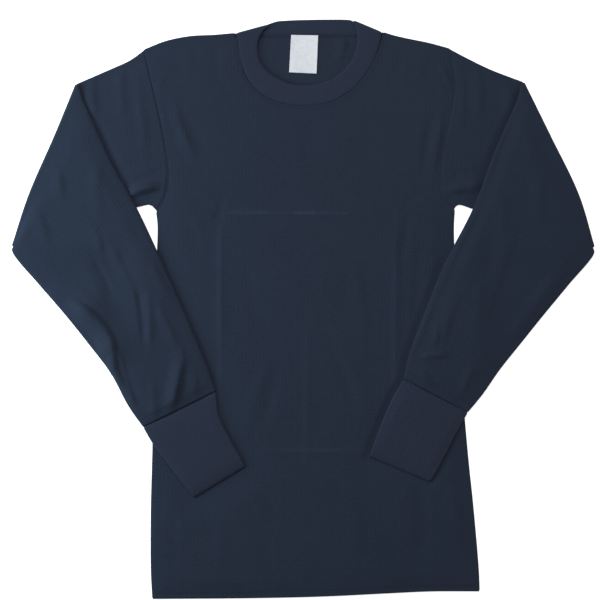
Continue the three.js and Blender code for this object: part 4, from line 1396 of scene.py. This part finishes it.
class THERMAL_OT_sewing(bpy.types.Operator):
    """Add the seam ridges and the stitches at hem, neck, cuffs and label"""
    bl_idname = "thermal.sewing"
    bl_label = "Sewing"

    def execute(self, context):
        loft = sizes().front_loft / MM
        pitch = sizes().stitch_pitch / MM
        width = sizes().thread_width / MM
        rows = sizes().rows_of_stitches

        def on_front(path, over=0.05):
            return np.column_stack([path, front_height(path, loft) + CLOTH + over])

        ridges = []
        for edges in EDGES.values():
            up = np.linspace(0, 1, len(edges["armhole"]))
            ridges.append((on_front(edges["armhole"], mix(-0.5, -0.76, smooth(0.25, 0.6, up))), 1.35))
            for name in ("seam", "shoulder"):
                path = edges[name]
                ridges.append((np.column_stack([path, np.full(len(path), SEAM_MIDDLE)]), 0.95))
        ridges.append((on_front(neck_line("front")[2:-2], -1.25), 0.95))
        points, faces, cloth = ridge(ridges, 2.4)
        piece("seam_ridges", points, faces, cloth, materials()["knit"])

        # Tape over the back neck seam; its darker colour is partly painted shade below the collar
        # band.
        seam = neck_line("back")[2:-2]
        upper = seam + np.array([0, TAPE / 2 - 0.3])
        lower = seam - np.array([0, TAPE / 2 + 0.3])
        share = np.linspace(0, 1, 9)[:, None, None]
        grid = mix(lower, upper, share)
        rise = CLOTH + 0.1 + 0.1 * np.sin(np.pi * share[..., 0]) + back_height(grid)
        points, faces, cloth = shell(grid, rise, rise + TAPE_THICK)
        piece("neck_tape", points, faces, cloth, materials()["tape"])

        paths = []
        hem = line(HEM, "x", "y", 200)[2:-2]
        neck = neck_line("front")[2:-2]
        for row in range(rows):
            paths.append(on_front(hem + np.array([0, 5.0 + 3.0 * row])))
            paths.append(on_front(shifted(neck, 2.4 + 2.6 * row)))
            back = neck_line("back")[3:-3] + np.array([0, -2.2 - 2.6 * row])
            paths.append(np.column_stack([back, back_height(back) + CLOTH + 0.05]))
        points, faces, cloth = threads(paths, pitch, 0.74 * pitch, width)
        piece("body_stitches", points, faces, cloth, materials()["thread"])

        paths = []
        for side in SLEEVES:
            for name, index in ((f"sleeve_{side}", -5),):
                ring = RINGS[name]
                paths.append(ring[index, SLEEVE_ACROSS + TIP_STEPS:2 * SLEEVE_ACROSS + TIP_STEPS]
                             + np.array([0, 0, 0.05]))
        points, faces, cloth = threads(paths, pitch, 0.74 * pitch, width)
        piece("cuff_stitches", points, faces, cloth, materials()["thread"])
        return {"FINISHED"}


def area_light(name, place, aim, size, power, colour=(1, 1, 1)):
    data = bpy.data.lights.new(name, "AREA")
    data.shape = "DISK"
    data.size = size
    data.energy = power
    data.color = colour
    lamp = bpy.data.objects.new(name, data)
    lamp.location = place
    way = np.array(aim, float) - np.array(place, float)
    lamp.visible_camera = False
    lamp.rotation_euler = Vector(way).to_track_quat("-Z", "Y").to_euler()
    bpy.context.scene.collection.objects.link(lamp)
    return lamp


class THERMAL_OT_stage(bpy.types.Operator):
    """Set the pale floor, the soft lights and the camera straight above the top"""
    bl_idname = "thermal.stage"
    bl_label = "Stage"

    def execute(self, context):
        scene = context.scene
        mesh = bpy.data.meshes.new("floor")
        reach = 40.0
        mesh.from_pydata([(-reach, -reach, -0.0004), (reach, -reach, -0.0004),
                          (reach, reach, -0.0004), (-reach, reach, -0.0004)], [], [(0, 1, 2, 3)])
        floor = bpy.data.objects.new("floor", mesh)
        scene.collection.objects.link(floor)
        paper = bpy.data.materials.new("Pale Floor")
        paper.use_nodes = True
        shader = paper.node_tree.nodes["Principled BSDF"]
        wire = Wiring(paper.node_tree)
        place = wire.node("ShaderNodeTexCoord").outputs["Object"]
        grain = wire.noise(place, 60.0).outputs["Fac"]
        colour = tuple(scene.thermal_colours.floor)
        wire.link(wire.blend(grain, (*colour, 1), (*(min(1, c * 1.03) for c in colour), 1)),
                  shader.inputs["Base Color"])
        shader.inputs["Roughness"].default_value = 0.9
        shader.inputs["Specular IOR Level"].default_value = 0.1
        shader.inputs["Emission Color"].default_value = (1, 1, 1, 1)
        shader.inputs["Emission Strength"].default_value = 0.7
        mesh.materials.append(paper)

        world = bpy.data.worlds.new("Soft Room")
        world.use_nodes = True
        wire = Wiring(world.node_tree)
        seen = wire.node("ShaderNodeLightPath").outputs["Is Camera Ray"]
        background = world.node_tree.nodes["Background"]
        background.inputs["Color"].default_value = (1, 1, 1, 1)
        wire.link(wire.remap(seen, 0, 1, 0.38, 0.7), background.inputs["Strength"])
        scene.world = world
        area_light("key", (-0.3, 1.5, 1.9), (0, 0, 0), 1.6, 26)
        area_light("left", (-0.95, 0.1, 0.36), (-0.1, 0, 0), 0.6, 8, (0.66, 0.94, 1.0))

        camera = bpy.data.cameras.new("camera")
        camera.lens = 85
        camera.sensor_width = 36
        seen = bpy.data.objects.new("camera", camera)
        seen.location = (-0.004, 0.0115, 1.7743)
        scene.collection.objects.link(seen)
        scene.camera = seen
        scene.view_settings.view_transform = "Standard"
        return {"FINISHED"}


OPERATORS = (THERMAL_OT_panels, THERMAL_OT_sleeves, THERMAL_OT_cuffs, THERMAL_OT_collar,
             THERMAL_OT_label, THERMAL_OT_sewing, THERMAL_OT_stage)


class THERMAL_PT_top(bpy.types.Panel):
    """Pieces of the thermal top and the sizes and colours that shape them"""
    bl_idname = "THERMAL_PT_top"
    bl_label = "Thermal Top"
    bl_space_type = "VIEW_3D"
    bl_region_type = "UI"
    bl_category = "Thermal Top"

    def draw(self, context):
        layout = self.layout
        for settings in (context.scene.thermal_sizes, context.scene.thermal_colours):
            column = layout.column(align=True)
            for name in settings.__annotations__:
                column.prop(settings, name)
        for operator in OPERATORS:
            layout.operator(operator.bl_idname)


CLASSES = (ThermalSizes, ThermalColours, *OPERATORS, THERMAL_PT_top)


def register():
    for cls in CLASSES:
        bpy.utils.register_class(cls)
    bpy.types.Scene.thermal_sizes = PointerProperty(type=ThermalSizes)
    bpy.types.Scene.thermal_colours = PointerProperty(type=ThermalColours)


def unregister():
    del bpy.types.Scene.thermal_colours
    del bpy.types.Scene.thermal_sizes
    for cls in reversed(CLASSES):
        bpy.utils.unregister_class(cls)


def main():
    register()
    bpy.ops.thermal.panels()
    bpy.ops.thermal.sleeves()
    bpy.ops.thermal.cuffs()
    bpy.ops.thermal.collar()
    bpy.ops.thermal.label()
    bpy.ops.thermal.sewing()
    bpy.ops.thermal.stage()


if __name__ == "__main__":
    main()
